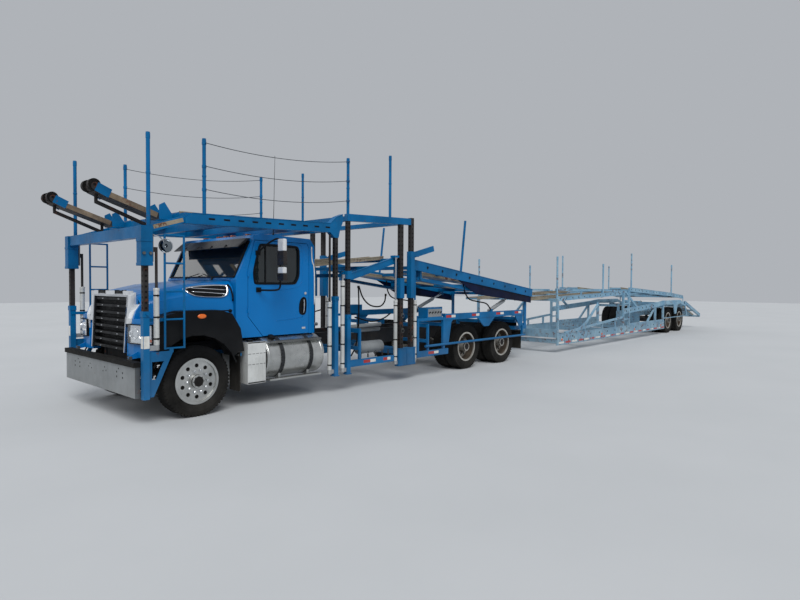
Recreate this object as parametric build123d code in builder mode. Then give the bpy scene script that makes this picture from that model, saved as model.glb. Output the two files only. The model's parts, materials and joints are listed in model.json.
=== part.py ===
"""A car transporter: a conventional-cab truck with its own loading decks, and the semi-trailer that it pulls.

Millimetres. +X is forward, +Y is the truck's left, +Z is up and the floor is z = 0. The origin lies on the
floor under the middle of the whole rig. Places along the rig are written as distances behind the front axle.
"""
import os
from math import hypot

from build123d import *

os.makedirs("parts", exist_ok=True)

# Driving dimensions of the whole rig
FRONT_AXLE_X = 11050.0
FIRST_DRIVE_AXLE = 6000.0
TANDEM_SPACING = 1360.0
FIRST_TRAILER_AXLE = 19000.0
TRAILER_TANDEM_SPACING = 1350.0
HITCH = 8900.0
SIDES = {"left": 1, "right": -1}

# Clearances
SEAT_GAP = 0.3
PIN_CLEARANCE = 0.5
SLIDE_CLEARANCE = 0.8
PANEL_GAP = 8.0

# Tyres and rims
TYRE_RADIUS = 464.5
TYRE_WIDTH = 255.0
TYRE_SHOULDER = 38.0
TYRE_OUTER_FACE = 1200.0
TWIN_SPACING = 300.0
RIM_RADIUS = 286.0
RIM_FLANGE_RADIUS = 302.0
RIM_FLANGE_WIDTH = 10.0
RIM_WIDTH = 232.0
RIM_WALL = 14.0
DISC_THICKNESS = 22.0
HUB_RADIUS = 88.0
HAND_HOLE_COUNT = 10
HAND_HOLE_RADIUS = 27.0
HAND_HOLE_CIRCLE = 205.0
SPINDLE_RADIUS = 48.0
SPINDLE_BORE = SPINDLE_RADIUS + PIN_CLEARANCE
HUB_CAP = 30.0
TWIN_HUB_CAP = 40.0
SPINDLE_END_GAP = 20.0
DRUM_RADIUS = 205.0
WHEEL_HEIGHT = TYRE_RADIUS

# Steering gear
KINGPIN_Y = 850.0
KINGPIN_RADIUS = 22.0
AXLE_EYE_HALF_HEIGHT = 45.0
KNUCKLE_EAR = 26.0

# Chassis
RAIL_OUTER_Y = 430.0
RAIL_WIDTH = 80.0
RAIL_INNER_Y = RAIL_OUTER_Y - RAIL_WIDTH
RAIL_LOW = 620.0
RAIL_HIGH = 900.0
RAIL_FRONT = -550.0
RAIL_REAR = 8180.0

# Posts and masts that carry the decks
MAST_Y = 1236.0
POST_TUBE = 76.0
POST_WALL = 6.0
MAST_BAR = POST_TUBE - 2 * POST_WALL - 2 * SLIDE_CLEARANCE
FRONT_MAST = -700.0
POST_2 = 2330.0
POST_3 = 2600.0
POST_4 = 3880.0
POST_5 = 4165.0
POST_FOOT = 280.0
BASE_FRONT = 3800.0
BASE_REAR = 4250.0
BASE_TOP = 600.0
CYLINDER_RADIUS = 32.0
ROD_RADIUS = 17.0
ROD_CLEARANCE = 0.6
CYLINDER_FOOT = 320.0

# Decks
BEAM_OUTER_Y = 1270.0
BEAM_WIDTH = 90.0
TRACK_INNER_Y = 560.0
TRACK_OUTER_Y = 930.0
TRACK_WIDTH = TRACK_OUTER_Y - TRACK_INNER_Y
TRACK_Y = (TRACK_INNER_Y + TRACK_OUTER_Y) / 2
TRACK_DEPTH = 45.0
POLE_RADIUS = 24.0


def back(distance):
    """The X of a place that far behind the front axle."""
    return FRONT_AXLE_X - distance


def block(front, rear, y_low, y_high, z_low, z_high, mode=Mode.ADD):
    """A box between two distances behind the front axle, two Y and two heights."""
    middle = (back((front + rear) / 2), (y_low + y_high) / 2, (z_low + z_high) / 2)
    with Locations(middle):
        Box(abs(rear - front), abs(y_high - y_low), abs(z_high - z_low), mode=mode)


def side_block(side, front, rear, y_low, y_high, z_low, z_high, mode=Mode.ADD):
    """A box on one side, with its two Y given as distances out from the centre line."""
    block(front, rear, min(side * y_low, side * y_high), max(side * y_low, side * y_high), z_low, z_high, mode)


def side_plate(outline, y_low, y_high, mode=Mode.ADD):
    """A plate between two Y whose outline is (distance behind the front axle, height) points."""
    with BuildSketch(Plane.XZ.offset(-y_high)) as face:
        with BuildLine():
            Polyline(*[(back(distance), height) for distance, height in outline], close=True)
        make_face()
    extrude(face.sketch, amount=y_high - y_low, mode=mode)


def beam(start, end, width, depth, mode=Mode.ADD):
    """A rectangular bar between two (distance, y, height) points, its width level and its depth across it."""
    first = Vector(back(start[0]), start[1], start[2])
    run = Vector(back(end[0]), end[1], end[2]) - first
    across = Vector(0, 0, 1).cross(run) if hypot(run.X, run.Y) > 1 else Vector(0, 1, 0)
    with BuildSketch(Plane(origin=first, x_dir=across, z_dir=run)) as section:
        Rectangle(width, depth)
    extrude(section.sketch, amount=run.length, mode=mode)


def bar(start, end, radius, mode=Mode.ADD):
    """A round bar between two (distance, y, height) points."""
    first = Vector(back(start[0]), start[1], start[2])
    run = Vector(back(end[0]), end[1], end[2]) - first
    with BuildSketch(Plane(origin=first, z_dir=run)) as section:
        Circle(radius)
    extrude(section.sketch, amount=run.length, mode=mode)


def cross_bar(place, side, y_low, y_high, radius, mode=Mode.ADD):
    """A round bar across the rig at a (distance, height) place, between two distances out on one side."""
    distance, height = place
    bar((distance, side * y_low, height), (distance, side * y_high, height), radius, mode)


def side_beam(side, line, y, width, depth):
    """A rectangular bar on one side along a line of two (distance, height) points."""
    (first, low), (second, high) = line
    beam((first, side * y, low), (second, side * y, high), width, depth)


def upright(distance, y, z_low, z_high, width, depth=None, mode=Mode.ADD):
    """A square upright bar centred on a place, or a rectangular one where a depth along X is given."""
    half_y = width / 2
    half_x = (depth or width) / 2
    block(distance - half_x, distance + half_x, y - half_y, y + half_y, z_low, z_high, mode)


def square_tube(distance, y, z_low, z_high, outside, wall):
    """An upright square tube, open at the top and closed by a foot of one wall."""
    upright(distance, y, z_low, z_high, outside)
    upright(distance, y, z_low + wall, z_high, outside - 2 * wall, mode=Mode.SUBTRACT)


def height_on(line, distance):
    """The height at a distance of a straight line given by two (distance, height) points."""
    (first, low), (second, high) = line
    return low + (high - low) * (distance - first) / (second - first)


def finish(builder, name):
    """Label a finished piece and write its file."""
    builder.part.label = name
    export_step(builder.part, f"parts/{name}.step")


# Wheels: the profile is drawn beside the wheel's axis and turned about it
def wheel_plane(distance, outer_face, side):
    """The plane of a wheel's half section: local x is the radius, local y runs outwards from the outer face."""
    origin = (back(distance), side * outer_face, WHEEL_HEIGHT)
    return Plane(origin=origin, x_dir=(1, 0, 0), z_dir=(0, 0, side))


def tyre_section(plane):
    """One tyre, with a rounded tread shoulder and a narrower bead."""
    bead = RIM_WIDTH / 2 - RIM_FLANGE_WIDTH - 2
    middle = -TYRE_WIDTH / 2
    crown = TYRE_WIDTH / 2
    with BuildSketch(plane) as section:
        with BuildLine():
            Polyline(
                (RIM_RADIUS + SEAT_GAP, middle - bead),
                (RIM_RADIUS + SEAT_GAP, middle + bead),
                (RIM_FLANGE_RADIUS + 3, middle + bead),
                (RIM_FLANGE_RADIUS + 30, middle + crown - 6),
                (TYRE_RADIUS - 80, middle + crown),
                (TYRE_RADIUS - TYRE_SHOULDER / 2, middle + crown - 14),
                (TYRE_RADIUS, middle + crown - TYRE_SHOULDER),
                (TYRE_RADIUS, middle - crown + TYRE_SHOULDER),
                (TYRE_RADIUS - TYRE_SHOULDER / 2, middle - crown + 14),
                (TYRE_RADIUS - 80, middle - crown),
                (RIM_FLANGE_RADIUS + 30, middle - crown + 6),
                (RIM_FLANGE_RADIUS + 3, middle - bead),
                close=True,
            )
        make_face()
    revolve(section.sketch, axis=Axis(plane.origin, plane.y_dir))


def rim_barrel(plane):
    """The barrel and two flanges of one rim, centred in its tyre."""
    middle = -TYRE_WIDTH / 2
    half = RIM_WIDTH / 2
    with BuildSketch(plane) as section:
        with Locations((RIM_RADIUS - RIM_WALL / 2, middle)):
            Rectangle(RIM_WALL, RIM_WIDTH)
        inner = RIM_RADIUS - RIM_WALL
        for end in (1, -1):
            with Locations(((inner + RIM_FLANGE_RADIUS) / 2, middle + end * (half - RIM_FLANGE_WIDTH / 2))):
                Rectangle(RIM_FLANGE_RADIUS - inner, RIM_FLANGE_WIDTH)
    revolve(section.sketch, axis=Axis(plane.origin, plane.y_dir))


def turned(plane, rings):
    """Rings turned about the wheel's axis, each (inner radius, outer radius, low, high), inwards negative."""
    with BuildSketch(plane) as section:
        for inner, outer, low, high in rings:
            with Locations(((inner + outer) / 2, (low + high) / 2)):
                Rectangle(outer - inner, high - low)
    revolve(section.sketch, axis=Axis(plane.origin, plane.y_dir))


def hand_holes(plane, low, high):
    """The round holes through a disc."""
    hole_plane = Plane(origin=plane.origin + plane.y_dir * high, z_dir=-plane.y_dir)
    with BuildSketch(hole_plane) as holes:
        with PolarLocations(HAND_HOLE_CIRCLE, HAND_HOLE_COUNT):
            Circle(HAND_HOLE_RADIUS)
    extrude(holes.sketch, amount=high - low, mode=Mode.SUBTRACT)


# The front wheel's disc stands out and its hub cap ends just inside the tyre's outer face
FRONT_DISC_OUT = -34.0
FRONT_HUB_OUT = 22.0
# A driven or trailer wheel's disc lies deep in the outer rim
REAR_DISC_OUT = -165.0
REAR_HUB_OUT = -6.0


def front_wheel(side_name):
    """A front tyre and its aluminium rim with ten round hand holes, turning on the knuckle's spindle."""
    plane = wheel_plane(0, TYRE_OUTER_FACE, SIDES[side_name])
    with BuildPart() as tyre:
        tyre_section(plane)
    finish(tyre, f"front_tyre_{side_name}")
    with BuildPart() as rim:
        rim_barrel(plane)
        turned(plane, [
            (SPINDLE_BORE, RIM_RADIUS - RIM_WALL, FRONT_DISC_OUT - DISC_THICKNESS, FRONT_DISC_OUT),
            (SPINDLE_BORE, HUB_RADIUS, FRONT_DISC_OUT - 120, FRONT_HUB_OUT - HUB_CAP),
            (0, HUB_RADIUS, FRONT_HUB_OUT - HUB_CAP, FRONT_HUB_OUT),
            (DRUM_RADIUS - 20, DRUM_RADIUS, FRONT_DISC_OUT - 190, FRONT_DISC_OUT - DISC_THICKNESS),
        ])
        hand_holes(plane, FRONT_DISC_OUT - DISC_THICKNESS, FRONT_DISC_OUT)
    finish(rim, f"front_rim_{side_name}")


def twin_wheel(name, distance, side_name):
    """Two tyres side by side on two rims that share one hub."""
    side = SIDES[side_name]
    outer = wheel_plane(distance, TYRE_OUTER_FACE, side)
    inner = wheel_plane(distance, TYRE_OUTER_FACE - TWIN_SPACING, side)
    with BuildPart() as tyres:
        tyre_section(outer)
        tyre_section(inner)
    finish(tyres, f"{name}_tyres_{side_name}")
    with BuildPart() as rims:
        rim_barrel(outer)
        rim_barrel(inner)
        turned(outer, [
            (SPINDLE_BORE, RIM_RADIUS - RIM_WALL, REAR_DISC_OUT - 2 * DISC_THICKNESS, REAR_DISC_OUT),
            (SPINDLE_BORE, HUB_RADIUS, REAR_DISC_OUT - 230, REAR_HUB_OUT - TWIN_HUB_CAP),
            (0, HUB_RADIUS, REAR_HUB_OUT - TWIN_HUB_CAP, REAR_HUB_OUT),
            (DRUM_RADIUS - 20, DRUM_RADIUS, REAR_DISC_OUT - 240, REAR_DISC_OUT - DISC_THICKNESS),
            (DRUM_RADIUS, RIM_RADIUS - RIM_WALL, -TWIN_SPACING - 40, -TWIN_SPACING - 40 + DISC_THICKNESS),
        ])
        hand_holes(outer, REAR_DISC_OUT - 2 * DISC_THICKNESS, REAR_DISC_OUT)
    finish(rims, f"{name}_rims_{side_name}")


for side_name in SIDES:
    front_wheel(side_name)
    twin_wheel("drive_1", FIRST_DRIVE_AXLE, side_name)
    twin_wheel("drive_2", FIRST_DRIVE_AXLE + TANDEM_SPACING, side_name)
    twin_wheel("trailer_1", FIRST_TRAILER_AXLE, side_name)
    twin_wheel("trailer_2", FIRST_TRAILER_AXLE + TRAILER_TANDEM_SPACING, side_name)

# Knuckles, axles and springs
SPINDLE_INNER = 905.0
SPINDLE_END = TYRE_OUTER_FACE + FRONT_HUB_OUT - HUB_CAP - SPINDLE_END_GAP
for side_name, side in SIDES.items():
    with BuildPart() as knuckle:
        ear_low = AXLE_EYE_HALF_HEIGHT + SEAT_GAP
        for up in (1, -1):
            z_a = WHEEL_HEIGHT + up * ear_low
            z_b = WHEEL_HEIGHT + up * (ear_low + KNUCKLE_EAR)
            side_block(side, -45, 45, KINGPIN_Y - 40, SPINDLE_INNER, min(z_a, z_b), max(z_a, z_b))
        side_block(side, -45, 45, KINGPIN_Y + 45, SPINDLE_INNER, WHEEL_HEIGHT - ear_low, WHEEL_HEIGHT + ear_low)
        bar((0, side * KINGPIN_Y, WHEEL_HEIGHT - ear_low), (0, side * KINGPIN_Y, WHEEL_HEIGHT + ear_low),
            KINGPIN_RADIUS)
        bar((0, side * (SPINDLE_INNER - 10), WHEEL_HEIGHT), (0, side * (SPINDLE_INNER + 22), WHEEL_HEIGHT), 120)
        bar((0, side * SPINDLE_INNER, WHEEL_HEIGHT), (0, side * SPINDLE_END, WHEEL_HEIGHT), SPINDLE_RADIUS)
    finish(knuckle, f"knuckle_{side_name}")

SPRING_Y = 445.0
SPRING_HALF_WIDTH = 45.0
AXLE_HOUSING_RADIUS = 75.0
REAR_AXLE_END = TYRE_OUTER_FACE + REAR_HUB_OUT - TWIN_HUB_CAP - SPINDLE_END_GAP / 2


def carrying_axle(distance):
    """A straight round axle with a spindle at each end for twin wheels."""
    bar((distance, -560, WHEEL_HEIGHT), (distance, 560, WHEEL_HEIGHT), AXLE_HOUSING_RADIUS)
    bar((distance, -REAR_AXLE_END, WHEEL_HEIGHT), (distance, REAR_AXLE_END, WHEEL_HEIGHT), SPINDLE_RADIUS)


with BuildPart() as truck_axles:
    block(-45, 45, -(KINGPIN_Y - 60), KINGPIN_Y - 60, WHEEL_HEIGHT - 45, WHEEL_HEIGHT + 45)
    for side in SIDES.values():
        bar((0, side * KINGPIN_Y, WHEEL_HEIGHT - AXLE_EYE_HALF_HEIGHT),
            (0, side * KINGPIN_Y, WHEEL_HEIGHT + AXLE_EYE_HALF_HEIGHT), 40)
        side_block(side, -30, 30, KINGPIN_Y - 70, KINGPIN_Y, WHEEL_HEIGHT - 30, WHEEL_HEIGHT + 30)
        bar((0, side * KINGPIN_Y, WHEEL_HEIGHT - 60), (0, side * KINGPIN_Y, WHEEL_HEIGHT + 60),
            KINGPIN_RADIUS + PIN_CLEARANCE, Mode.SUBTRACT)
        side_block(side, -540, 540, SPRING_Y - SPRING_HALF_WIDTH, SPRING_Y + SPRING_HALF_WIDTH,
                   WHEEL_HEIGHT + 45, WHEEL_HEIGHT + 95)
        for end in (-1, 1):
            hanger = SPRING_Y - SPRING_HALF_WIDTH
            side_block(side, end * 520 - 20, end * 520 + 20, hanger, hanger + 30, WHEEL_HEIGHT + 95, RAIL_LOW)
    for distance in (FIRST_DRIVE_AXLE, FIRST_DRIVE_AXLE + TANDEM_SPACING):
        carrying_axle(distance)
        with Locations((back(distance), 0, WHEEL_HEIGHT)):
            Sphere(190)
        for side in SIDES.values():
            side_block(side, distance - 60, distance + 60, RAIL_INNER_Y, RAIL_OUTER_Y, WHEEL_HEIGHT, RAIL_LOW)
finish(truck_axles, "truck_axles")

ENGINE_HALF_WIDTH = 300.0
with BuildPart() as engine_block:
    block(-420, 600, -ENGINE_HALF_WIDTH, ENGINE_HALF_WIDTH, 700, 1380)
finish(engine_block, "engine_block")

# Chassis with its rear drop to the hitch
HITCH_PLATE_TOP = 460.0
HITCH_PLATE_RADIUS = 330.0
HITCH_PIN_RADIUS = 45.0
STINGER_HALF_WIDTH = 380.0
HITCH_DROP = [
    (7950, RAIL_LOW + 10), (RAIL_REAR, RAIL_LOW + 10), (8420, 420), (8420, 320), (8150, 320), (7950, 520),
]
with BuildPart() as chassis_frame:
    for side in SIDES.values():
        side_block(side, RAIL_FRONT, RAIL_REAR, RAIL_INNER_Y, RAIL_OUTER_Y, RAIL_LOW, RAIL_HIGH)
        side_plate(HITCH_DROP, side * 365 - 15, side * 365 + 15)
    for distance in (-500, 800, 2300, 3900, 5200, 6680, 8130):
        block(distance - 40, distance + 40, -RAIL_OUTER_Y + 10, RAIL_OUTER_Y - 10, RAIL_LOW + 60, RAIL_HIGH - 40)
    for side in SIDES.values():
        side_block(side, -100, 0, ENGINE_HALF_WIDTH + SEAT_GAP, RAIL_INNER_Y, 720, 800)
    block(8100, HITCH + 180, -STINGER_HALF_WIDTH, STINGER_HALF_WIDTH, 320, 420)
    bar((HITCH, 0, 320), (HITCH, 0, HITCH_PLATE_TOP), HITCH_PLATE_RADIUS)
    bar((HITCH, 0, 300), (HITCH, 0, HITCH_PLATE_TOP + 10), HITCH_PIN_RADIUS + PIN_CLEARANCE, Mode.SUBTRACT)
finish(chassis_frame, "chassis_frame")

# Bumper with its lip, and the lower half of the front masts
BUMPER_FACE = -800.0
BUMPER_HOLE_RADIUS = 12.0
HOOD_HINGE = (-740.0, 809.0)
HOOD_LUG_Y = 887.0
HOOD_PIN_RADIUS = 12.0
with BuildPart() as front_bumper:
    block(BUMPER_FACE, BUMPER_FACE + 60, -1180, 1180, 345, 720)
    block(BUMPER_FACE - 20, BUMPER_FACE + 80, -1190, 1190, 720, 780)
    for side in SIDES.values():
        side_block(side, BUMPER_FACE + 60, RAIL_FRONT, RAIL_INNER_Y, RAIL_OUTER_Y, 560, 720)
        for across in (640, 820):
            for height in (560, 620):
                bar((BUMPER_FACE - 10, side * across, height), (BUMPER_FACE + 70, side * across, height),
                    BUMPER_HOLE_RADIUS, Mode.SUBTRACT)
        for ear in (HOOD_LUG_Y - 20, HOOD_LUG_Y + 20):
            side_block(side, HOOD_HINGE[0] - 20, HOOD_HINGE[0] + 18, ear - 6, ear + 6, 775, HOOD_HINGE[1] + 20)
        cross_bar(HOOD_HINGE, side, HOOD_LUG_Y - 24, HOOD_LUG_Y + 24, HOOD_PIN_RADIUS)
finish(front_bumper, "front_bumper")

# Cab shell, hollow, with its windows and door openings cut
CAB_HALF_WIDTH = 1020.0
CAB_WALL = 40.0
CAB_FRONT = 670.0
CAB_REAR = 2080.0
CAB_FLOOR = 970.0
CAB_ROOF = 2470.0
COWL_TOP = 1800.0
ROOF_FRONT = 980.0
DOOR_FRONT = 870.0
DOOR_REAR = 1967.0
DOOR_LOW = 975.0
DOOR_TOP = 2370.0
WINDOW_SILL = 1750.0
GLASS = 6.0
CAB_OUTLINE = [
    (CAB_FRONT, CAB_FLOOR), (CAB_FRONT, COWL_TOP), (ROOF_FRONT, CAB_ROOF - 20), (ROOF_FRONT + 120, CAB_ROOF),
    (CAB_REAR - 90, CAB_ROOF - 20), (CAB_REAR, CAB_ROOF - 130), (CAB_REAR, CAB_FLOOR),
]
SCREEN_LINE = ((COWL_TOP, CAB_FRONT), (CAB_ROOF - 20, ROOF_FRONT))
SCREEN_LOW = COWL_TOP + 40
SCREEN_HIGH = 2350.0
SCREEN_HALF_WIDTH = CAB_HALF_WIDTH - 75
# The sun visor's outline: height, distance behind the windscreen's plane
VISOR_OUTLINE = [(2270, -150), (2400, -60), (2400, 10), (2385, -45), (2262, -138)]
REAR_WINDOW = (-620.0, 620.0, 1800.0, 2260.0)
DOOR_HINGE = (865.0, 1025.0)
DOOR_HINGE_HEIGHTS = (1360.0, 1880.0)
HINGE_RADIUS = 14.0
HINGE_PIN = 7.0
HINGE_LENGTH = 34.0
DOOR_OUTLINE = [
    (DOOR_FRONT + 250, DOOR_LOW), (DOOR_FRONT, DOOR_LOW + 300), (DOOR_FRONT, 1950), (DOOR_FRONT + 110, DOOR_TOP),
    (DOOR_REAR - 40, DOOR_TOP), (DOOR_REAR, DOOR_TOP - 60), (DOOR_REAR, DOOR_LOW),
]
WINDOW_OUTLINE = [
    (980, WINDOW_SILL), (970, 1950), (1060, 2290), (1100, 2310), (1720, 2310), (1770, 2260), (1770, 1850),
    (1690, WINDOW_SILL),
]


def screen_distance(height, inward):
    """How far behind the front axle the windscreen's plane lies at a height, set back by a distance."""
    return height_on(SCREEN_LINE, height) + inward


def outline_solid(outline, growth, y_low, y_high, mode=Mode.ADD):
    """A plate whose side outline is grown or shrunk by a distance."""
    with BuildSketch(Plane.XZ.offset(-y_high)) as face:
        with BuildLine():
            Polyline(*[(back(distance), height) for distance, height in outline], close=True)
        make_face()
        if growth:
            offset(amount=growth, kind=Kind.INTERSECTION, mode=Mode.REPLACE)
    extrude(face.sketch, amount=y_high - y_low, mode=mode)


def screen_plate(near, far, mode=Mode.ADD):
    """A sloping plate the size of the windscreen, between two depths behind the screen's plane."""
    corners = [(SCREEN_LOW, near), (SCREEN_HIGH, near), (SCREEN_HIGH, far), (SCREEN_LOW, far)]
    side_plate([(screen_distance(height, inward), height) for height, inward in corners],
               -SCREEN_HALF_WIDTH, SCREEN_HALF_WIDTH, mode)


def hinge_bar(side, z_low, z_high, radius, mode=Mode.ADD):
    """An upright round bar on a door's hinge line."""
    distance, across = DOOR_HINGE
    bar((distance, side * across, z_low), (distance, side * across, z_high), radius, mode)


with BuildPart() as cab_shell:
    outline_solid(CAB_OUTLINE, 0, -CAB_HALF_WIDTH, CAB_HALF_WIDTH)
    outline_solid(CAB_OUTLINE, -CAB_WALL, -CAB_HALF_WIDTH + CAB_WALL, CAB_HALF_WIDTH - CAB_WALL, Mode.SUBTRACT)
    for side in SIDES.values():
        y_a, y_b = side * (CAB_HALF_WIDTH - CAB_WALL - 10), side * (CAB_HALF_WIDTH + 10)
        outline_solid(DOOR_OUTLINE, PANEL_GAP, min(y_a, y_b), max(y_a, y_b), Mode.SUBTRACT)
    screen_plate(-60, 120, Mode.SUBTRACT)
    block(CAB_REAR - CAB_WALL - 20, CAB_REAR + 20, *REAR_WINDOW, Mode.SUBTRACT)
    for side in SIDES.values():
        side_block(side, 1500, 1700, RAIL_INNER_Y, RAIL_OUTER_Y, RAIL_HIGH, CAB_FLOOR)
        for height in DOOR_HINGE_HEIGHTS:
            hinge_bar(side, height, height + HINGE_LENGTH + 2, HINGE_RADIUS + 2, Mode.SUBTRACT)
            hinge_bar(side, height - HINGE_LENGTH, height, HINGE_RADIUS)
            hinge_bar(side, height - HINGE_LENGTH, height + HINGE_LENGTH, HINGE_PIN)
    side_plate([(screen_distance(height, inward), height) for height, inward in VISOR_OUTLINE],
               -SCREEN_HALF_WIDTH, SCREEN_HALF_WIDTH)
finish(cab_shell, "cab_shell")

with BuildPart() as cab_glass:
    screen_plate(14, 14 + GLASS)
    block(CAB_REAR - 20 - GLASS, CAB_REAR - 20, *REAR_WINDOW)
finish(cab_glass, "cab_glass")

with BuildPart() as cab_interior:
    floor = CAB_FLOOR + CAB_WALL
    for middle in (-500, 500):
        block(1450, 1900, middle - 240, middle + 240, floor, 1420)
        block(1830, 1960, middle - 230, middle + 230, 1420, 2080)
    block(CAB_FRONT + CAB_WALL, 1010, -CAB_HALF_WIDTH + CAB_WALL, CAB_HALF_WIDTH - CAB_WALL, 1420, 1740)
    block(CAB_FRONT + CAB_WALL, 760, -300, 300, floor, 1420)
    bar((1000, 500, 1600), (1150, 500, 1680), 30)
    with BuildSketch(Plane(origin=(back(1150), 500, 1680), z_dir=(-0.88, 0, 0.47))):
        Circle(225)
        Circle(195, mode=Mode.SUBTRACT)
        Rectangle(420, 40)
    extrude(amount=25)
finish(cab_interior, "cab_interior")

# Doors with their glass and mirrors
MIRROR_ARM_Y = 1290.0
MIRROR_HEADS = ((2010.0, 2390.0), (1790.0, 1985.0))


def mirror_head(side, z_low, z_high):
    """A rounded mirror housing behind the upright of its arm, deepest at its middle."""
    y_middle = side * (MIRROR_ARM_Y + 70)
    place = (back(1232), y_middle, (z_low + z_high) / 2)
    with BuildSketch(Plane(origin=place, x_dir=(0, 1, 0), z_dir=(1, 0, 0))) as face:
        RectangleRounded(170, z_high - z_low, 40)
    extrude(face.sketch, amount=62, taper=22)
    extrude(face.sketch, amount=-14)


for side_name, side in SIDES.items():
    y_a, y_b = side * (CAB_HALF_WIDTH - CAB_WALL), side * CAB_HALF_WIDTH
    y_low, y_high = min(y_a, y_b), max(y_a, y_b)
    with BuildPart() as door:
        outline_solid(DOOR_OUTLINE, 0, y_low, y_high)
        outline_solid(WINDOW_OUTLINE, 0, y_low - 10, y_high + 10, Mode.SUBTRACT)
        for height in DOOR_HINGE_HEIGHTS:
            hinge_bar(side, height - HINGE_LENGTH - 2, height + 1, HINGE_RADIUS + 2, Mode.SUBTRACT)
            hinge_bar(side, height + 1, height + HINGE_LENGTH - 1, HINGE_RADIUS)
            hinge_bar(side, height, height + HINGE_LENGTH, HINGE_PIN + PIN_CLEARANCE, Mode.SUBTRACT)
    finish(door, f"door_{side_name}")
    middle = side * (CAB_HALF_WIDTH - CAB_WALL / 2)
    with BuildPart() as door_glass:
        outline_solid(WINDOW_OUTLINE, 0, middle - GLASS / 2, middle + GLASS / 2)
    finish(door_glass, f"door_glass_{side_name}")
    with BuildPart() as mirror:
        bar((1230, side * MIRROR_ARM_Y, 1660), (1230, side * MIRROR_ARM_Y, 2400), 14)
        bar((1230, side * (MIRROR_ARM_Y + 10), 2388), (1010, side * (CAB_HALF_WIDTH), 2190), 13)
        bar((1230, side * (MIRROR_ARM_Y + 10), 1672), (1040, side * (CAB_HALF_WIDTH), 1640), 13)
        for z_low, z_high in MIRROR_HEADS:
            mirror_head(side, z_low, z_high)
        y_c, y_d = side * (CAB_HALF_WIDTH - 60), side * CAB_HALF_WIDTH
        block(900, 1300, min(y_c, y_d), max(y_c, y_d), 1500, 2400, Mode.SUBTRACT)
    finish(mirror, f"mirror_{side_name}")

# Hood: a hollow shell in sections, open below, with a flare over each front wheel
HOOD_REAR = 660.0
HOOD_FRONT = -560.0
HOOD_WALL = 12.0
ARCH_RADIUS = 610.0
FLARE_OUTER_Y = 1178.0
NOSE_LOW_EDGE = 805.0
NOSE_HIGH_EDGE = 1290.0
NOSE_INNER_Y = 665.0
NOSE_PLAN = [(-400, 1160), (-545, 1125), (-625, 1010), (-655, 800), (-655, NOSE_INNER_Y), (-400, NOSE_INNER_Y)]
LAMP_LOW = 985.0
LAMP_HIGH = 1215.0
NOSE_SLOPE = [(-400, NOSE_HIGH_EDGE), (-655, NOSE_HIGH_EDGE), (-620, 1390), (HOOD_FRONT, 1470), (-400, 1500)]
SHOULDER_BULGE = 34.0
CROWN_RISE = 20.0
HOOD_STATIONS = [
    # distance behind the axle, half width and height at the sill, then at the shoulder, then at the crown
    (HOOD_REAR, 1000, 900, 968, 1640, 750, 1785),
    (0, 990, 900, 938, 1580, 670, 1722),
    (-400, 960, 860, 872, 1500, 590, 1638),
    (HOOD_FRONT, 900, 860, 805, 1445, 545, 1578),
]
GRILLE_LOW = 850.0
GRILLE_HIGH = 1560.0
GRILLE_BARS = 8
LAMP_PROUD = 14.0
# How far the grille's bars stand ahead of the hood's front, at the grille's foot and at its top
GRILLE_REACH = ((GRILLE_LOW, 92.0), (GRILLE_HIGH, 56.0))


def plan_solid(points, side, growth, z_low, z_high, mode=Mode.ADD):
    """An upright prism over a plan outline of (distance behind the axle, distance out) points, grown."""
    with BuildSketch(Plane.XY.offset(z_low)) as plan:
        with BuildLine():
            Polyline(*[(back(distance), side * across) for distance, across in points], close=True)
        make_face()
        if growth:
            offset(amount=growth, kind=Kind.INTERSECTION, mode=Mode.REPLACE)
    extrude(plan.sketch, amount=z_high - z_low, mode=mode)


def hood_section(station, wall):
    """The arched cross-section of the hood at one station, inside a wall of that thickness."""
    distance, sill, low, shoulder, middle, crown, top = station
    with BuildSketch(Plane(origin=(back(distance), 0, 0), x_dir=(0, 1, 0), z_dir=(1, 0, 0))) as section:
        with BuildLine():
            half_low, half_middle, half_top = sill - wall, shoulder - wall, crown - wall / 2
            corner = ((half_middle + half_top) / 2 + SHOULDER_BULGE, (middle + top - wall) / 2 + SHOULDER_BULGE)
            foot = low - abs(wall)
            Polyline((-half_middle, middle), (-half_low, foot), (half_low, foot), (half_middle, middle))
            ThreePointArc((half_middle, middle), corner, (half_top, top - wall))
            ThreePointArc((half_top, top - wall), (0, top - wall + CROWN_RISE), (-half_top, top - wall))
            ThreePointArc((-half_top, top - wall), (-corner[0], corner[1]), (-half_middle, middle))
        make_face()
    return section.sketch


def hood_nose(side, growth, mode=Mode.ADD):
    """The fender's front corner, around the headlamp, whose top slopes up to the hood's side."""
    plan_solid(NOSE_PLAN, side, growth, NOSE_LOW_EDGE - (5 if growth else 0), NOSE_HIGH_EDGE + growth, mode)
    if not growth:
        side_plate(NOSE_SLOPE, *sorted((side * NOSE_INNER_Y, side * 800)))
        side_block(side, -645, HOOD_FRONT + HOOD_WALL, 575, NOSE_INNER_Y, NOSE_LOW_EDGE, 1170)


def hood_loft(wall, reach, mode=Mode.ADD):
    """The hood's body over its stations, longer by a reach at both ends."""
    for first, second in zip(HOOD_STATIONS, HOOD_STATIONS[1:]):
        ends = [list(first), list(second)]
        if first is HOOD_STATIONS[0]:
            ends[0][0] += reach
        loft([hood_section(end, wall) for end in ends], ruled=True, mode=mode)


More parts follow.
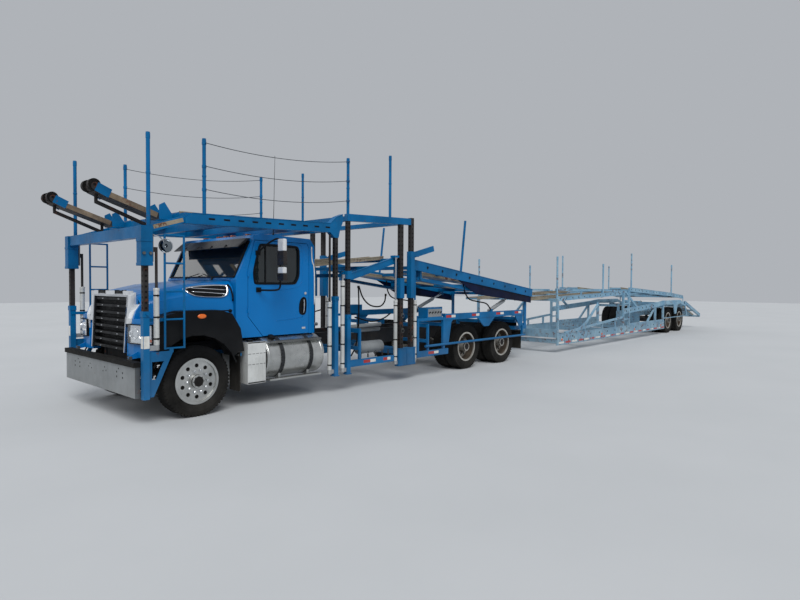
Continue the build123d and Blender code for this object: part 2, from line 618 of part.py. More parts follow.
# The lug's outline: its eye end has its corners cut, so that it turns clear of the bumper's lip
lug_x, lug_z = HOOD_HINGE
HOOD_LUG = [
    (-600, 900), (lug_x - 10, lug_z + 18), (lug_x - 18, lug_z + 8), (lug_x - 18, lug_z - 8), (lug_x - 10, lug_z - 18),
    (lug_x + 20, lug_z - 18), (-600, NOSE_LOW_EDGE),
]
with BuildPart() as hood:
    hood_loft(0, 0)
    for side in SIDES.values():
        hood_nose(side, 0)
    hood_loft(HOOD_WALL, 20, Mode.SUBTRACT)
    for side in SIDES.values():
        hood_nose(side, -HOOD_WALL, Mode.SUBTRACT)
    block(HOOD_FRONT, HOOD_FRONT + HOOD_WALL, -700, 700, RAIL_HIGH + 12, GRILLE_HIGH)
    for side in SIDES.values():
        y_a, y_b = side * 640, side * (FLARE_OUTER_Y + 40)
        with BuildSketch(Plane.XZ.offset(-max(y_a, y_b))):
            with Locations((back(0), WHEEL_HEIGHT)):
                Circle(ARCH_RADIUS + 40)
        extrude(amount=abs(y_b - y_a), mode=Mode.SUBTRACT)
        side_plate(HOOD_LUG, side * HOOD_LUG_Y - 7, side * HOOD_LUG_Y + 7)
        cross_bar(HOOD_HINGE, side, HOOD_LUG_Y - 10, HOOD_LUG_Y + 10, HOOD_PIN_RADIUS + PIN_CLEARANCE,
                  Mode.SUBTRACT)
finish(hood, "hood")

FLARE_OUTLINE = [
    (-520, 900), (-520, 1180), (-430, 1330), (-200, 1385), (330, 1385), (520, 1330), (650, 1120), (705, 800), (630, 800),
    (0, WHEEL_HEIGHT),
]
with BuildPart() as fender_flares:
    for side in SIDES.values():
        y_a, y_b = side * 935, side * FLARE_OUTER_Y
        low, high = min(y_a, y_b), max(y_a, y_b)
        with BuildSketch(Plane.XZ.offset(-high)):
            with BuildLine():
                Polyline(*[(back(distance), height) for distance, height in FLARE_OUTLINE], close=True)
            make_face()
            with Locations((back(0), WHEEL_HEIGHT)):
                Circle(ARCH_RADIUS, mode=Mode.SUBTRACT)
        extrude(amount=high - low)
        hood_nose(side, 1, Mode.SUBTRACT)
    hood_loft(-1, 0, Mode.SUBTRACT)
    block(HOOD_REAR, 900, -CAB_HALF_WIDTH - 10, CAB_HALF_WIDTH + 10, 700, 1500, Mode.SUBTRACT)
finish(fender_flares, "fender_flares")

with BuildPart() as grille:
    grille_back = HOOD_FRONT - SEAT_GAP
    for side in SIDES.values():
        side_plate([(grille_back, GRILLE_LOW), (HOOD_FRONT - 100, GRILLE_LOW), (HOOD_FRONT - 60, GRILLE_HIGH),
                    (grille_back, GRILLE_HIGH)], side * 545 - 25, side * 545 + 25)
    block(HOOD_FRONT - 20, grille_back, -530, 530, GRILLE_LOW, GRILLE_HIGH)
    for number in range(GRILLE_BARS):
        height = GRILLE_LOW + 30 + number * (GRILLE_HIGH - GRILLE_LOW - 60) / (GRILLE_BARS - 1)
        reach = height_on(GRILLE_REACH, height)
        block(HOOD_FRONT - reach, HOOD_FRONT - 10, -535, 535, height - 17, height + 17)
finish(grille, "grille")

SURROUND_OUTLINE = [
    (HOOD_FRONT - SEAT_GAP, 1180), (HOOD_FRONT - 96, 1180), (HOOD_FRONT - 66, 1570), (HOOD_FRONT - SEAT_GAP, 1620),
]
with BuildPart() as hood_trim:
    for side in SIDES.values():
        side_plate(SURROUND_OUTLINE, side * 615 - 43, side * 615 + 43)
    block(HOOD_FRONT - 66, HOOD_FRONT - SEAT_GAP, -572, 572, GRILLE_HIGH + SEAT_GAP, 1640)
    for side in SIDES.values():
        plan_solid(NOSE_PLAN, side, LAMP_PROUD, LAMP_LOW, LAMP_HIGH)
        plan_solid(NOSE_PLAN, side, SEAT_GAP, LAMP_LOW - 1, LAMP_HIGH + 1, Mode.SUBTRACT)
        side_block(side, -525, -300, 500, 1300, LAMP_LOW - 1, LAMP_HIGH + 1, Mode.SUBTRACT)
        side_block(side, -700, -300, 500, 700, LAMP_LOW - 1, LAMP_HIGH + 1, Mode.SUBTRACT)
finish(hood_trim, "hood_trim")

# Fuel tanks on both sides, with the box tank and steps ahead of the near one
TANK_Y = 920.0
TANK_HEIGHT = 655.0
TANK_STRAPS = (1330.0, 1860.0)
TANK_RADIUS = 305.0
with BuildPart() as fuel_tanks:
    for side in SIDES.values():
        bar((1060, side * TANK_Y, TANK_HEIGHT), (2110, side * TANK_Y, TANK_HEIGHT), TANK_RADIUS)
        for distance in TANK_STRAPS:
            side_block(side, distance - 30, distance + 30, RAIL_OUTER_Y, TANK_Y - 40, RAIL_LOW + 20, 740)
        for distance in TANK_STRAPS:
            bar((distance - 30, side * TANK_Y, TANK_HEIGHT), (distance + 30, side * TANK_Y, TANK_HEIGHT),
                TANK_RADIUS + 8)
            side_block(side, distance - 20, distance + 20, TANK_Y + 120, TANK_Y + 210, 860, 900)
            side_block(side, distance - 20, distance + 20, TANK_Y + 120, TANK_Y + 210, 335, 420)
        side_block(side, 1120, 2080, TANK_Y + 180, TANK_Y + 275, 880, 905)
        side_block(side, 1120, 2080, TANK_Y + 180, TANK_Y + 275, 330, 355)
        side_block(side, 1150, 1180, TANK_Y + 60, TANK_Y + 190, 862, 880)
        side_block(side, 750, 1040, RAIL_OUTER_Y + 100, 1200, 330, 920)
        side_block(side, 860, 900, RAIL_OUTER_Y, RAIL_OUTER_Y + 100, RAIL_LOW + 20, 740)
finish(fuel_tanks, "fuel_tanks")

# Fixed blue posts, ladders and the top frame
FRONT_TUBE_TOP = 1400.0
TUBE_2_TOP = 1550.0
TUBE_3_TOP = 1250.0
TOP_FRAME_FRONT = 2560.0
TOP_FRAME_REAR = 4120.0
TOP_FRAME_UNDER = ((TOP_FRAME_FRONT, 2770.0), (TOP_FRAME_REAR, 2830.0))
TOP_FRAME_DEPTH = 115.0
LADDER_FRONT = -450.0
LADDER_REAR = -200.0
LADDER_Y = 1228.0


def pole(distance, y, foot, length, lean=0):
    """A slim round pole, leaning back by a distance at its top."""
    bar((distance, y, foot), (distance + lean, y, foot + length), POLE_RADIUS)


with BuildPart() as post_frames:
    for side in SIDES.values():
        mast = side * MAST_Y
        square_tube(FRONT_MAST, mast, 330, FRONT_TUBE_TOP, POST_TUBE, POST_WALL)
        tube_face = FRONT_MAST + POST_TUBE / 2
        side_plate([(tube_face, 900), (tube_face, 350), (-600, 350), (-350, 900)], mast - 8, mast + 8)
        side_plate([(tube_face + 40, 780), (tube_face + 40, 560), (-570, 560), (-470, 780)],
                   mast - 9, mast + 9, Mode.SUBTRACT)
        side_block(side, FRONT_MAST - 30, FRONT_MAST + 30, RAIL_INNER_Y, MAST_Y - POST_TUBE / 2, 470, 545)
        side_block(side, -640, -600, RAIL_OUTER_Y, MAST_Y - POST_TUBE / 2, 640, 720)
        for rail in (LADDER_FRONT, LADDER_REAR):
            bar((rail, side * LADDER_Y, 920), (rail, side * LADDER_Y, 2350), 14)
        for rung in (930, 1290, 1640, 1990, 2340):
            bar((LADDER_FRONT, side * LADDER_Y, rung), (LADDER_REAR, side * LADDER_Y, rung), 12)
        side_block(side, FRONT_MAST - 20, LADDER_FRONT + 12, 1186, 1202, 1270, 1310)
        side_block(side, LADDER_FRONT - 12, LADDER_FRONT + 12, 1200, 1230, 1270, 1310)
        side_block(side, -400, -350, 1218, 1244, 880, 940)
        square_tube(POST_2, mast, POST_FOOT, TUBE_2_TOP, POST_TUBE, POST_WALL)
        square_tube(POST_3, mast, POST_FOOT, TUBE_3_TOP, POST_TUBE, POST_WALL)
        for post in (POST_2, POST_3):
            side_block(side, post - 35, post + 35, RAIL_OUTER_Y, MAST_Y - POST_TUBE / 2, 640, 720)
        side_block(side, BASE_FRONT, BASE_REAR, MAST_Y - 55, MAST_Y + 45, POST_FOOT, BASE_TOP)
        side_block(side, 3900, 4140, RAIL_OUTER_Y, MAST_Y - 55, 480, 580)
        side_block(side, 3990, 4060, RAIL_OUTER_Y - 30, RAIL_OUTER_Y + 60, 560, RAIL_LOW)
        (front, front_under), (rear, rear_under) = TOP_FRAME_UNDER
        side_plate([(front, front_under), (front, front_under + TOP_FRAME_DEPTH),
                    (rear, rear_under + TOP_FRAME_DEPTH), (rear, rear_under)],
                   mast - BEAM_WIDTH / 2 + 5, mast + BEAM_WIDTH / 2 - 5)
        for distance, top in ((2610, 3790), (3610, 4000)):
            foot = height_on(TOP_FRAME_UNDER, distance) + TOP_FRAME_DEPTH - 20
            pole(distance, side * (MAST_Y - 10), foot, top - foot)
    for distance in (2680, 4060):
        under = height_on(TOP_FRAME_UNDER, distance)
        block(distance - 40, distance + 40, -MAST_Y, MAST_Y, under + 10, under + 90)
finish(post_frames, "post_frames")

with BuildPart() as mast_rails:
    for side in SIDES.values():
        mast = side * MAST_Y
        third_top = height_on(TOP_FRAME_UNDER, POST_3 - MAST_BAR / 2)
        upright(POST_3, mast, POST_FOOT + POST_WALL, third_top, MAST_BAR)
        upright(POST_4, mast, BASE_TOP, height_on(TOP_FRAME_UNDER, POST_4 - POST_TUBE / 2), POST_TUBE)
        upright(POST_5, mast, BASE_TOP, 2960, POST_TUBE)
finish(mast_rails, "mast_rails")

# Upright cylinders: barrels stand on brackets at the posts, rods ride with the decks
FRONT_CYLINDER = -560.0
SECOND_CYLINDER = 2215.0
THIRD_CYLINDER = 2490.0
FOURTH_CYLINDER = 3755.0
FIFTH_CYLINDER = 4285.0
BARRELS = [
    # distance behind the axle, barrel's foot, barrel's top, the face that carries its bracket
    (FRONT_CYLINDER, 920, 1670, FRONT_MAST + POST_TUBE / 2),
    (SECOND_CYLINDER, CYLINDER_FOOT, 1450, POST_2 - POST_TUBE / 2),
    (THIRD_CYLINDER, CYLINDER_FOOT, 1790, POST_3 - POST_TUBE / 2),
    (FOURTH_CYLINDER, CYLINDER_FOOT, 1450, BASE_FRONT),
    (FIFTH_CYLINDER, CYLINDER_FOOT, 1450, BASE_REAR),
]


def cylinder_barrel(distance, y, foot, top):
    """A thick tube closed at its foot."""
    bar((distance, y, foot), (distance, y, top), CYLINDER_RADIUS)
    bar((distance, y, foot + 30), (distance, y, top + 10), ROD_RADIUS + ROD_CLEARANCE, Mode.SUBTRACT)


with BuildPart() as lift_barrels:
    for side in SIDES.values():
        for distance, foot, top, face in BARRELS:
            cylinder_barrel(distance, side * MAST_Y, foot, top)
            wall = distance + (-CYLINDER_RADIUS + 6 if distance > face else CYLINDER_RADIUS - 6)
            block(min(face, wall), max(face, wall), side * MAST_Y - 18, side * MAST_Y + 18, foot, foot + 60)
finish(lift_barrels, "lift_barrels")

ARM_HINGE = (-330.0, 2600.0)
ARM_Y = 750.0
ARM_WIDTH = 260.0
ARM_INNER_Y = ARM_Y - ARM_WIDTH / 2
ARM_OUTER_Y = ARM_Y + ARM_WIDTH / 2
ARM_PIN_RADIUS = 16.0
ear_x, ear_z = ARM_HINGE
ARM_EAR = [
    (ear_x - 30, ear_z - 30), (ear_x - 30, ear_z + 150), (ear_x + 40, ear_z + 190), (ear_x + 150, ear_z + 30),
    (ear_x + 150, ear_z - 30),
]

# Head deck over the cab, which rises on the front masts and the second posts
DECK_LINE = ((-200.0, 2500.0), (2200.0, 2560.0))
DECK_REAR = 2460.0
DECK_OUTLINE = [
    (-200, 2500), (-200, 2570), (-100, 2635), (80, 2640), (2200, 2700), (2330, 2810), (DECK_REAR, 2860),
    (DECK_REAR, 2740), (2400, 2600), (2370, 2480), (2290, 2480), (2200, 2560),
]
FRONT_SLEEVE_LOW = 1950.0
FRONT_BEAM_LOW = 2290.0
FRONT_BEAM_HIGH = 2430.0
with BuildPart() as head_deck:
    for side in SIDES.values():
        y_a, y_b = side * (BEAM_OUTER_Y - BEAM_WIDTH), side * BEAM_OUTER_Y
        low, high = min(y_a, y_b), max(y_a, y_b)
        side_plate(DECK_OUTLINE, low, high)
        upright(FRONT_MAST, side * MAST_Y, FRONT_SLEEVE_LOW, FRONT_BEAM_HIGH, 128, 140)
        side_plate([(FRONT_MAST, 2330), (FRONT_MAST, 2430), (-190, 2600), (-190, 2510)], low + 20, high - 20)
        for distance, top in ((-650, 3560), (80, 3620)):
            foot = 2425 if distance < 0 else 2610
            pole(distance, side * (MAST_Y - 8), foot, top - foot)
        for edge in (ARM_INNER_Y - 9, ARM_OUTER_Y + 9):
            side_plate(ARM_EAR, side * edge - 6, side * edge + 6)
        cross_bar(ARM_HINGE, side, ARM_INNER_Y - 12, ARM_OUTER_Y + 12, ARM_PIN_RADIUS)
        side_block(side, -110, 2420, TRACK_INNER_Y, TRACK_OUTER_Y, 2632, 2632 + TRACK_DEPTH)
    block(FRONT_MAST - 50, FRONT_MAST + 50, -MAST_Y, MAST_Y, FRONT_BEAM_LOW, FRONT_BEAM_HIGH)
    for distance in (-150, 480, 1100, 1700, 2130):
        under = height_on(DECK_LINE, distance)
        block(distance - 40, distance + 40, -BEAM_OUTER_Y + 20, BEAM_OUTER_Y - 20, max(under, 2522), 2640)
    block(2330, 2410, -BEAM_OUTER_Y + 20, BEAM_OUTER_Y - 20, 2640, 2720)
finish(head_deck, "head_deck")

HEAD_MAST_FOOT = 380.0
with BuildPart() as head_masts:
    for side in SIDES.values():
        upright(FRONT_MAST, side * MAST_Y, HEAD_MAST_FOOT, FRONT_SLEEVE_LOW, MAST_BAR)
        upright(POST_2, side * MAST_Y, HEAD_MAST_FOOT, 2480, MAST_BAR)
        bar((FRONT_CYLINDER, side * MAST_Y, 980), (FRONT_CYLINDER, side * MAST_Y, 2180), ROD_RADIUS)
        side_block(side, FRONT_MAST + 70, FRONT_CYLINDER, MAST_Y - 16, MAST_Y + 16, 2120, 2180)
        bar((SECOND_CYLINDER, side * MAST_Y, 380), (SECOND_CYLINDER, side * MAST_Y, 2528), ROD_RADIUS)
finish(head_masts, "head_masts")

# Arms ahead of the head deck, hinged at their rear ends
ARM_TIP = (-1120.0, 2860.0)
ARM_ROLLER_RADIUS = 70.0
with BuildPart() as head_arms:
    for side in SIDES.values():
        side_beam(side, (ARM_HINGE, ARM_TIP), ARM_Y, ARM_WIDTH, 60)
        cross_bar(ARM_HINGE, side, ARM_INNER_Y, ARM_OUTER_Y, 30)
        cross_bar(ARM_HINGE, side, ARM_INNER_Y - 5, ARM_OUTER_Y + 5, ARM_PIN_RADIUS + PIN_CLEARANCE,
                  Mode.SUBTRACT)
        cross_bar((ARM_TIP[0], ARM_TIP[1] + 30), side, ARM_INNER_Y, ARM_OUTER_Y, 48)
        bar((-450, side * ARM_Y, 2485), (-1080, side * ARM_Y, 2725), 24)
        for distance, low in ((-450, 2485), (-1070, 2722)):
            bar((distance, side * ARM_Y, low), (distance, side * ARM_Y, low + 130), 20)
        for roller in (ARM_Y - 95, ARM_Y + 95):
            cross_bar((ARM_TIP[0] - 10, ARM_TIP[1] + 50), side, roller - 30, roller + 30, ARM_ROLLER_RADIUS)
finish(head_arms, "head_arms")

def track(side, start, end):
    """One wheel track of a deck between two (distance, height) points."""
    side_beam(side, (start, end), TRACK_Y, TRACK_WIDTH, TRACK_DEPTH)


# Middle deck: rises on the third posts and the fourth masts
MID_LINE = ((2720.0, 1870.0), (3830.0, 2190.0))
COLLAR_WALL = 14.0
MID_LUG_LOW = 2225.0
MID_BRACKETS = [
    # post, reach behind it, width of the bar that its collar slides on, foot, top
    (POST_3, 120, MAST_BAR, 1830, 1900),
    (POST_4, 50, POST_TUBE, 1500, 1860),
]


def collar(distance, y, z_low, z_high, bar_size):
    """A square sleeve that slides on an upright bar."""
    bore = bar_size + 2 * SLIDE_CLEARANCE
    upright(distance, y, z_low, z_high, bore + 2 * COLLAR_WALL)
    upright(distance, y, z_low - 5, z_high + 5, bore, mode=Mode.SUBTRACT)


with BuildPart() as mid_deck:
    for side in SIDES.values():
        mast = side * MAST_Y
        side_beam(side, ((2650, height_on(MID_LINE, 2650)), MID_LINE[1]), 1160, 40, 110)
        collar(POST_3, mast, 1830, 1960, MAST_BAR)
        collar(POST_4, mast, 1500, 1860, POST_TUBE)
        for post, reach, size, low, high in MID_BRACKETS:
            collar_face = MAST_Y - size / 2 - SLIDE_CLEARANCE - 4
            side_block(side, post - 40, post + reach, 1145, collar_face, low, high)
        side_plate([(3800, 1860), (3800, 2220), (3860, 2220), (3930, 1860)], side * 1162 - 16, side * 1162 + 16)
        side_block(side, FOURTH_CYLINDER - 35, 3832, 1140, MAST_Y + 14, MID_LUG_LOW, 2262)
        track(side, (2150, 2050), (3760, 2225))
    for distance in (2720, 3200, 3720):
        height = height_on(MID_LINE, distance)
        block(distance - 35, distance + 35, -1150, 1150, height - 10, height + 50)
finish(mid_deck, "mid_deck")

with BuildPart() as mid_rods:
    for side in SIDES.values():
        collar_front = POST_3 - MAST_BAR / 2 - SLIDE_CLEARANCE - COLLAR_WALL - SEAT_GAP
        bar((THIRD_CYLINDER, side * MAST_Y, 500), (THIRD_CYLINDER, side * MAST_Y, 1900), ROD_RADIUS)
        side_block(side, THIRD_CYLINDER - 15, collar_front, MAST_Y - 14, MAST_Y + 14, 1840, 1900)
        bar((FOURTH_CYLINDER, side * MAST_Y, 500), (FOURTH_CYLINDER, side * MAST_Y, MID_LUG_LOW - SEAT_GAP), ROD_RADIUS)
finish(mid_rods, "mid_rods")

SLANT_FOOT = (7050.0, 1180.0)
SLANT_EYE = (8000.0, 1520.0)
SLANT_Y = 1050.0
SLANT_PIN_RADIUS = 20.0
SLANT_ROD_RADIUS = 22.0

# Rear deck: its front end hangs on a carriage that slides on the fifth masts, its rear end tilts on pivot posts
REAR_PIVOT = (8550.0, 1500.0)
PIVOT_RADIUS = 25.0
REAR_LINE = ((4330.0, 2115.0), (8700.0, 1565.0))
REAR_DEPTH = 170.0
REAR_BEAM_Y = 1165.0
REAR_BEAM_WIDTH = 60.0
# The side panel below the rear deck's beam: distance behind the front axle, depth under the deck's line
REAR_PANEL = [(5700, 60), (8680, 60), (8680, 240), (6350, 310)]
with BuildPart() as rear_deck:
    for side in SIDES.values():
        side_beam(side, REAR_LINE, REAR_BEAM_Y, REAR_BEAM_WIDTH, REAR_DEPTH)
        track(side, (4420, 1990), (8640, 1610))
        side_plate([(distance, height_on(REAR_LINE, distance) - drop) for distance, drop in REAR_PANEL],
                   side * REAR_BEAM_Y - 8, side * REAR_BEAM_Y + 8)
        side_beam(side, ((4500, 1860), (6300, 1640)), 1060, 110, 60)
        side_block(side, 4540, 4580, 1005, 1150, 1850, 2080)
        side_block(side, 6180, 6220, 1005, 1150, 1660, 1900)
        pole(5800, side * 1165, 1950, 1120, 150)
        cross_bar(REAR_PIVOT, side, 1060, 1150, PIVOT_RADIUS)
        pivot_x, pivot_z = REAR_PIVOT
        side_block(side, pivot_x - 50, pivot_x + 50, 1137, 1157, pivot_z - 30, pivot_z + 60)
        eye_x, eye_z = SLANT_EYE
        for face in (SLANT_Y - 44, SLANT_Y + 32):
            side_block(side, eye_x - 30, eye_x + 30, face, face + 12, eye_z - 35, eye_z + 100)
    for distance in (4450, 5300, 6200, 7100, 8000, 8640):
        height = height_on(REAR_LINE, distance)
        block(distance - 35, distance + 35, -REAR_BEAM_Y, REAR_BEAM_Y, height - 70, height - 5)
finish(rear_deck, "rear_deck")

CARRIAGE_LOW = 1500.0
CARRIAGE_HIGH = 2350.0
FLIP_HINGE = (4330.0, 2300.0)
FLIP_PIN_RADIUS = 18.0
with BuildPart() as deck_carriage:
    for side in SIDES.values():
        mast = side * MAST_Y
        collar(POST_5, mast, CARRIAGE_LOW, CARRIAGE_HIGH, POST_TUBE)
        collar_rear = POST_5 + POST_TUBE / 2 + SLIDE_CLEARANCE + COLLAR_WALL
        flip_x, flip_z = FLIP_HINGE
        bar((FIFTH_CYLINDER, mast, 870), (FIFTH_CYLINDER, mast, 2050), ROD_RADIUS)
        side_block(side, collar_rear - 2, FIFTH_CYLINDER + 20, MAST_Y - 20, MAST_Y + 20, 2020, 2090)
        side_block(side, POST_5 + 50, flip_x + 30, MAST_Y - 10, MAST_Y + 30, flip_z - 40, flip_z + 30)
        cross_bar(FLIP_HINGE, side, MAST_Y - 42, MAST_Y - 10, FLIP_PIN_RADIUS)
finish(deck_carriage, "deck_carriage")

with BuildPart() as flip_arms:
    for side in SIDES.values():
        middle = side * (MAST_Y - 28)
        beam((FLIP_HINGE[0] - 30, middle, FLIP_HINGE[1]), (4850, middle, 2440), 32, 105)
        cross_bar(FLIP_HINGE, side, MAST_Y - 50, MAST_Y, FLIP_PIN_RADIUS + PIN_CLEARANCE, Mode.SUBTRACT)
finish(flip_arms, "flip_arms")

# Slanted cylinders that raise the rear deck
SLANT_LENGTH = hypot(SLANT_EYE[0] - SLANT_FOOT[0], SLANT_EYE[1] - SLANT_FOOT[1])
SLANT_BARREL = 0.62 * SLANT_LENGTH


def on_slant(side, length):
    """A place along the slanted cylinder, that far from its foot."""
    share = length / SLANT_LENGTH
    distance, height = [foot + (eye - foot) * share for foot, eye in zip(SLANT_FOOT, SLANT_EYE)]
    return (distance, side * SLANT_Y, height)


def slant_bar(side, start, end, radius, mode=Mode.ADD):
    """A round bar along the slanted cylinder between two lengths from its foot."""
    bar(on_slant(side, start), on_slant(side, end), radius, mode)


with BuildPart() as slant_barrels:
    for side in SIDES.values():
        slant_bar(side, 0, SLANT_BARREL, 42)
        slant_bar(side, 60, SLANT_BARREL + 10, SLANT_ROD_RADIUS + PIN_CLEARANCE, Mode.SUBTRACT)
        cross_bar(SLANT_FOOT, side, SLANT_Y - 25, SLANT_Y + 25, 40)
        cross_bar(SLANT_FOOT, side, SLANT_Y - 45, SLANT_Y + 45, SLANT_PIN_RADIUS + PIN_CLEARANCE, Mode.SUBTRACT)
finish(slant_barrels, "slant_barrels")

with BuildPart() as slant_rods:
    for side in SIDES.values():
        slant_bar(side, 160, SLANT_LENGTH - 20, SLANT_ROD_RADIUS)
        cross_bar(SLANT_EYE, side, SLANT_Y - 20, SLANT_Y + 20, 32)
finish(slant_rods, "slant_rods")

# Blue side frames of the truck's rear half, with sills, arch panels, low rails and guard bars
SILL_Y = 1235.0
PANEL_Y = 1215.0
PIVOT_POST_Y = 1085.0
with BuildPart() as side_frames:
    for side in SIDES.values():
        side_block(side, 5200, 8200, SILL_Y - 60, SILL_Y, 1050, 1170)
        for front, rear in ((POST_3 + POST_TUBE / 2, 3715), (4350, 5300)):
            side_block(side, front, rear, SILL_Y - 40, SILL_Y + 10, 380, 490)
        side_plate([(5210, 1050), (5210, 560), (5330, 560), (5420, 1000), (5480, 1050)],
                   side * PANEL_Y - 12, side * PANEL_Y + 12)
        middle = FIRST_DRIVE_AXLE + TANDEM_SPACING / 2
        side_plate([(middle - 330, 1050), (middle - 90, 860), (middle + 90, 860), (middle + 330, 1050)],
                   side * PANEL_Y - 12, side * PANEL_Y + 12)
        side_plate([(7860, 1050), (8060, 800), (8200, 800), (8200, 1050)],
                   side * PANEL_Y - 12, side * PANEL_Y + 12)
        for distance in (4385, 5170):
            upright(distance, side * 1215, 490, 1100, 50)
        side_block(side, 4360, 5200, 1190, 1240, 1060, 1110)
        side_block(side, 4650, 5100, 1010, 1240, 1110, 1300)
        bar((4600, side * 1232, 575), (8300, side * 1232, 575), 24)
        side_block(side, 8180, 8210, 1190, 1240, 560, 860)
        for distance in (2900, 4700, 5180, middle, 8100):
            side_block(side, distance - 30, distance + 30, RAIL_OUTER_Y, SILL_Y - 30, RAIL_HIGH + 30,
                       RAIL_HIGH + 100)
        for distance in (2900, 4700):
            side_block(side, distance - 30, distance + 30, RAIL_OUTER_Y, 1215, 640, 700)
            upright(distance, side * 1205, 480, 1000, 40)
        for distance in (5180, middle, 8100):
            side_block(side, distance - 30, distance + 30, RAIL_OUTER_Y, RAIL_OUTER_Y + 60, RAIL_LOW + 60,
                       RAIL_HIGH + 100)
            side_block(side, distance - 30, distance + 30, SILL_Y - 60, SILL_Y - 20, RAIL_HIGH + 30, 1060)
        bar((3050, side * 1000, 650), (3600, side * 1000, 650), 105)
        side_block(side, 3180, 3240, RAIL_OUTER_Y, 920, 660, 720)
        side_block(side, 3420, 3480, RAIL_OUTER_Y, 920, 660, 720)
        upright(REAR_PIVOT[0], side * PIVOT_POST_Y, 700, REAR_PIVOT[1] + 45, 30, 90)
        cross_bar(REAR_PIVOT, side, PIVOT_POST_Y - 40, PIVOT_POST_Y + 40, PIVOT_RADIUS + PIN_CLEARANCE,
                  Mode.SUBTRACT)
        side_block(side, 8060, 8590, 1060, 1100, 700, 780)
        side_block(side, 8060, 8120, RAIL_OUTER_Y, 1100, 700, 780)
        side_block(side, 7010, 7090, SLANT_Y + 46, SLANT_Y + 66, 1050, 1215)
        side_block(side, 7010, 7090, SLANT_Y + 60, SILL_Y - 50, 1050, 1120)
        side_block(side, 655 + SEAT_GAP, 680, RAIL_OUTER_Y, 1150, 735, 775)
        side_block(side, 8150, 8215 - SEAT_GAP, RAIL_OUTER_Y, 1050, 860, 930)
        cross_bar(SLANT_FOOT, side, SLANT_Y - 35, SLANT_Y + 50, SLANT_PIN_RADIUS)
finish(side_frames, "side_frames")

with BuildPart() as mud_flaps:
    for side in SIDES.values():
        side_block(side, 8215, 8230, 600, 1050, 250, 930)
        side_block(side, 8215, 8230, 1050, 1175, 250, 690)
        side_block(side, 640, 655, 900, 1160, 240, 780)
finish(mud_flaps, "mud_flaps")

# The semi-trailer's frame
TRAILER_SILL_Y = 1270.0
TRAILER_FRONT = 9900.0
TRAILER_SILL_LOW = 200.0
TRAILER_SILL_HIGH = 480.0
LADDER_POST = 14400.0
LADDER_POST_REAR = 14880.0
WHEEL_BAY = 18300.0
TRAILER_REAR = 20950.0
NOSE_LOW = HITCH_PLATE_TOP + SEAT_GAP
TRUSS_Y = 1235.0
TANDEM_MIDDLE = FIRST_TRAILER_AXLE + TRAILER_TANDEM_SPACING / 2
WHEEL_PANEL = [
    (WHEEL_BAY - 150, 1080), (WHEEL_BAY - 100, 1220), (20250, 1220), (TRAILER_REAR, 1020), (21150, 640), (21050, 640),
    (20850, 980), (20300, 1080), (TANDEM_MIDDLE + 250, 1060), (TANDEM_MIDDLE + 90, 700), (TANDEM_MIDDLE - 90, 700),
    (TANDEM_MIDDLE - 250, 1060),
]

# Hinge pins of the trailer's decks, each a (distance, height) place
FRONT_DECK_HINGE = (9960.0, 1330.0)
REAR_DECK_HINGE = (20600.0, 1300.0)
RAMP_HINGE = (21000.0, 1120.0)
DECK_PIN_RADIUS = 18.0


def deck_pin(place, side, y_low, y_high, clearance=0.0, mode=Mode.ADD):
    """A deck's hinge pin, or with a clearance the bore that turns on it."""
    cross_bar(place, side, y_low, y_high, DECK_PIN_RADIUS + clearance, mode)


SILL_RAIL = ((10400.0, 500.0), (LADDER_POST, 760.0))


def sill_top(distance):
    """The top of the rising rail above the sill."""
    return height_on(SILL_RAIL, distance)


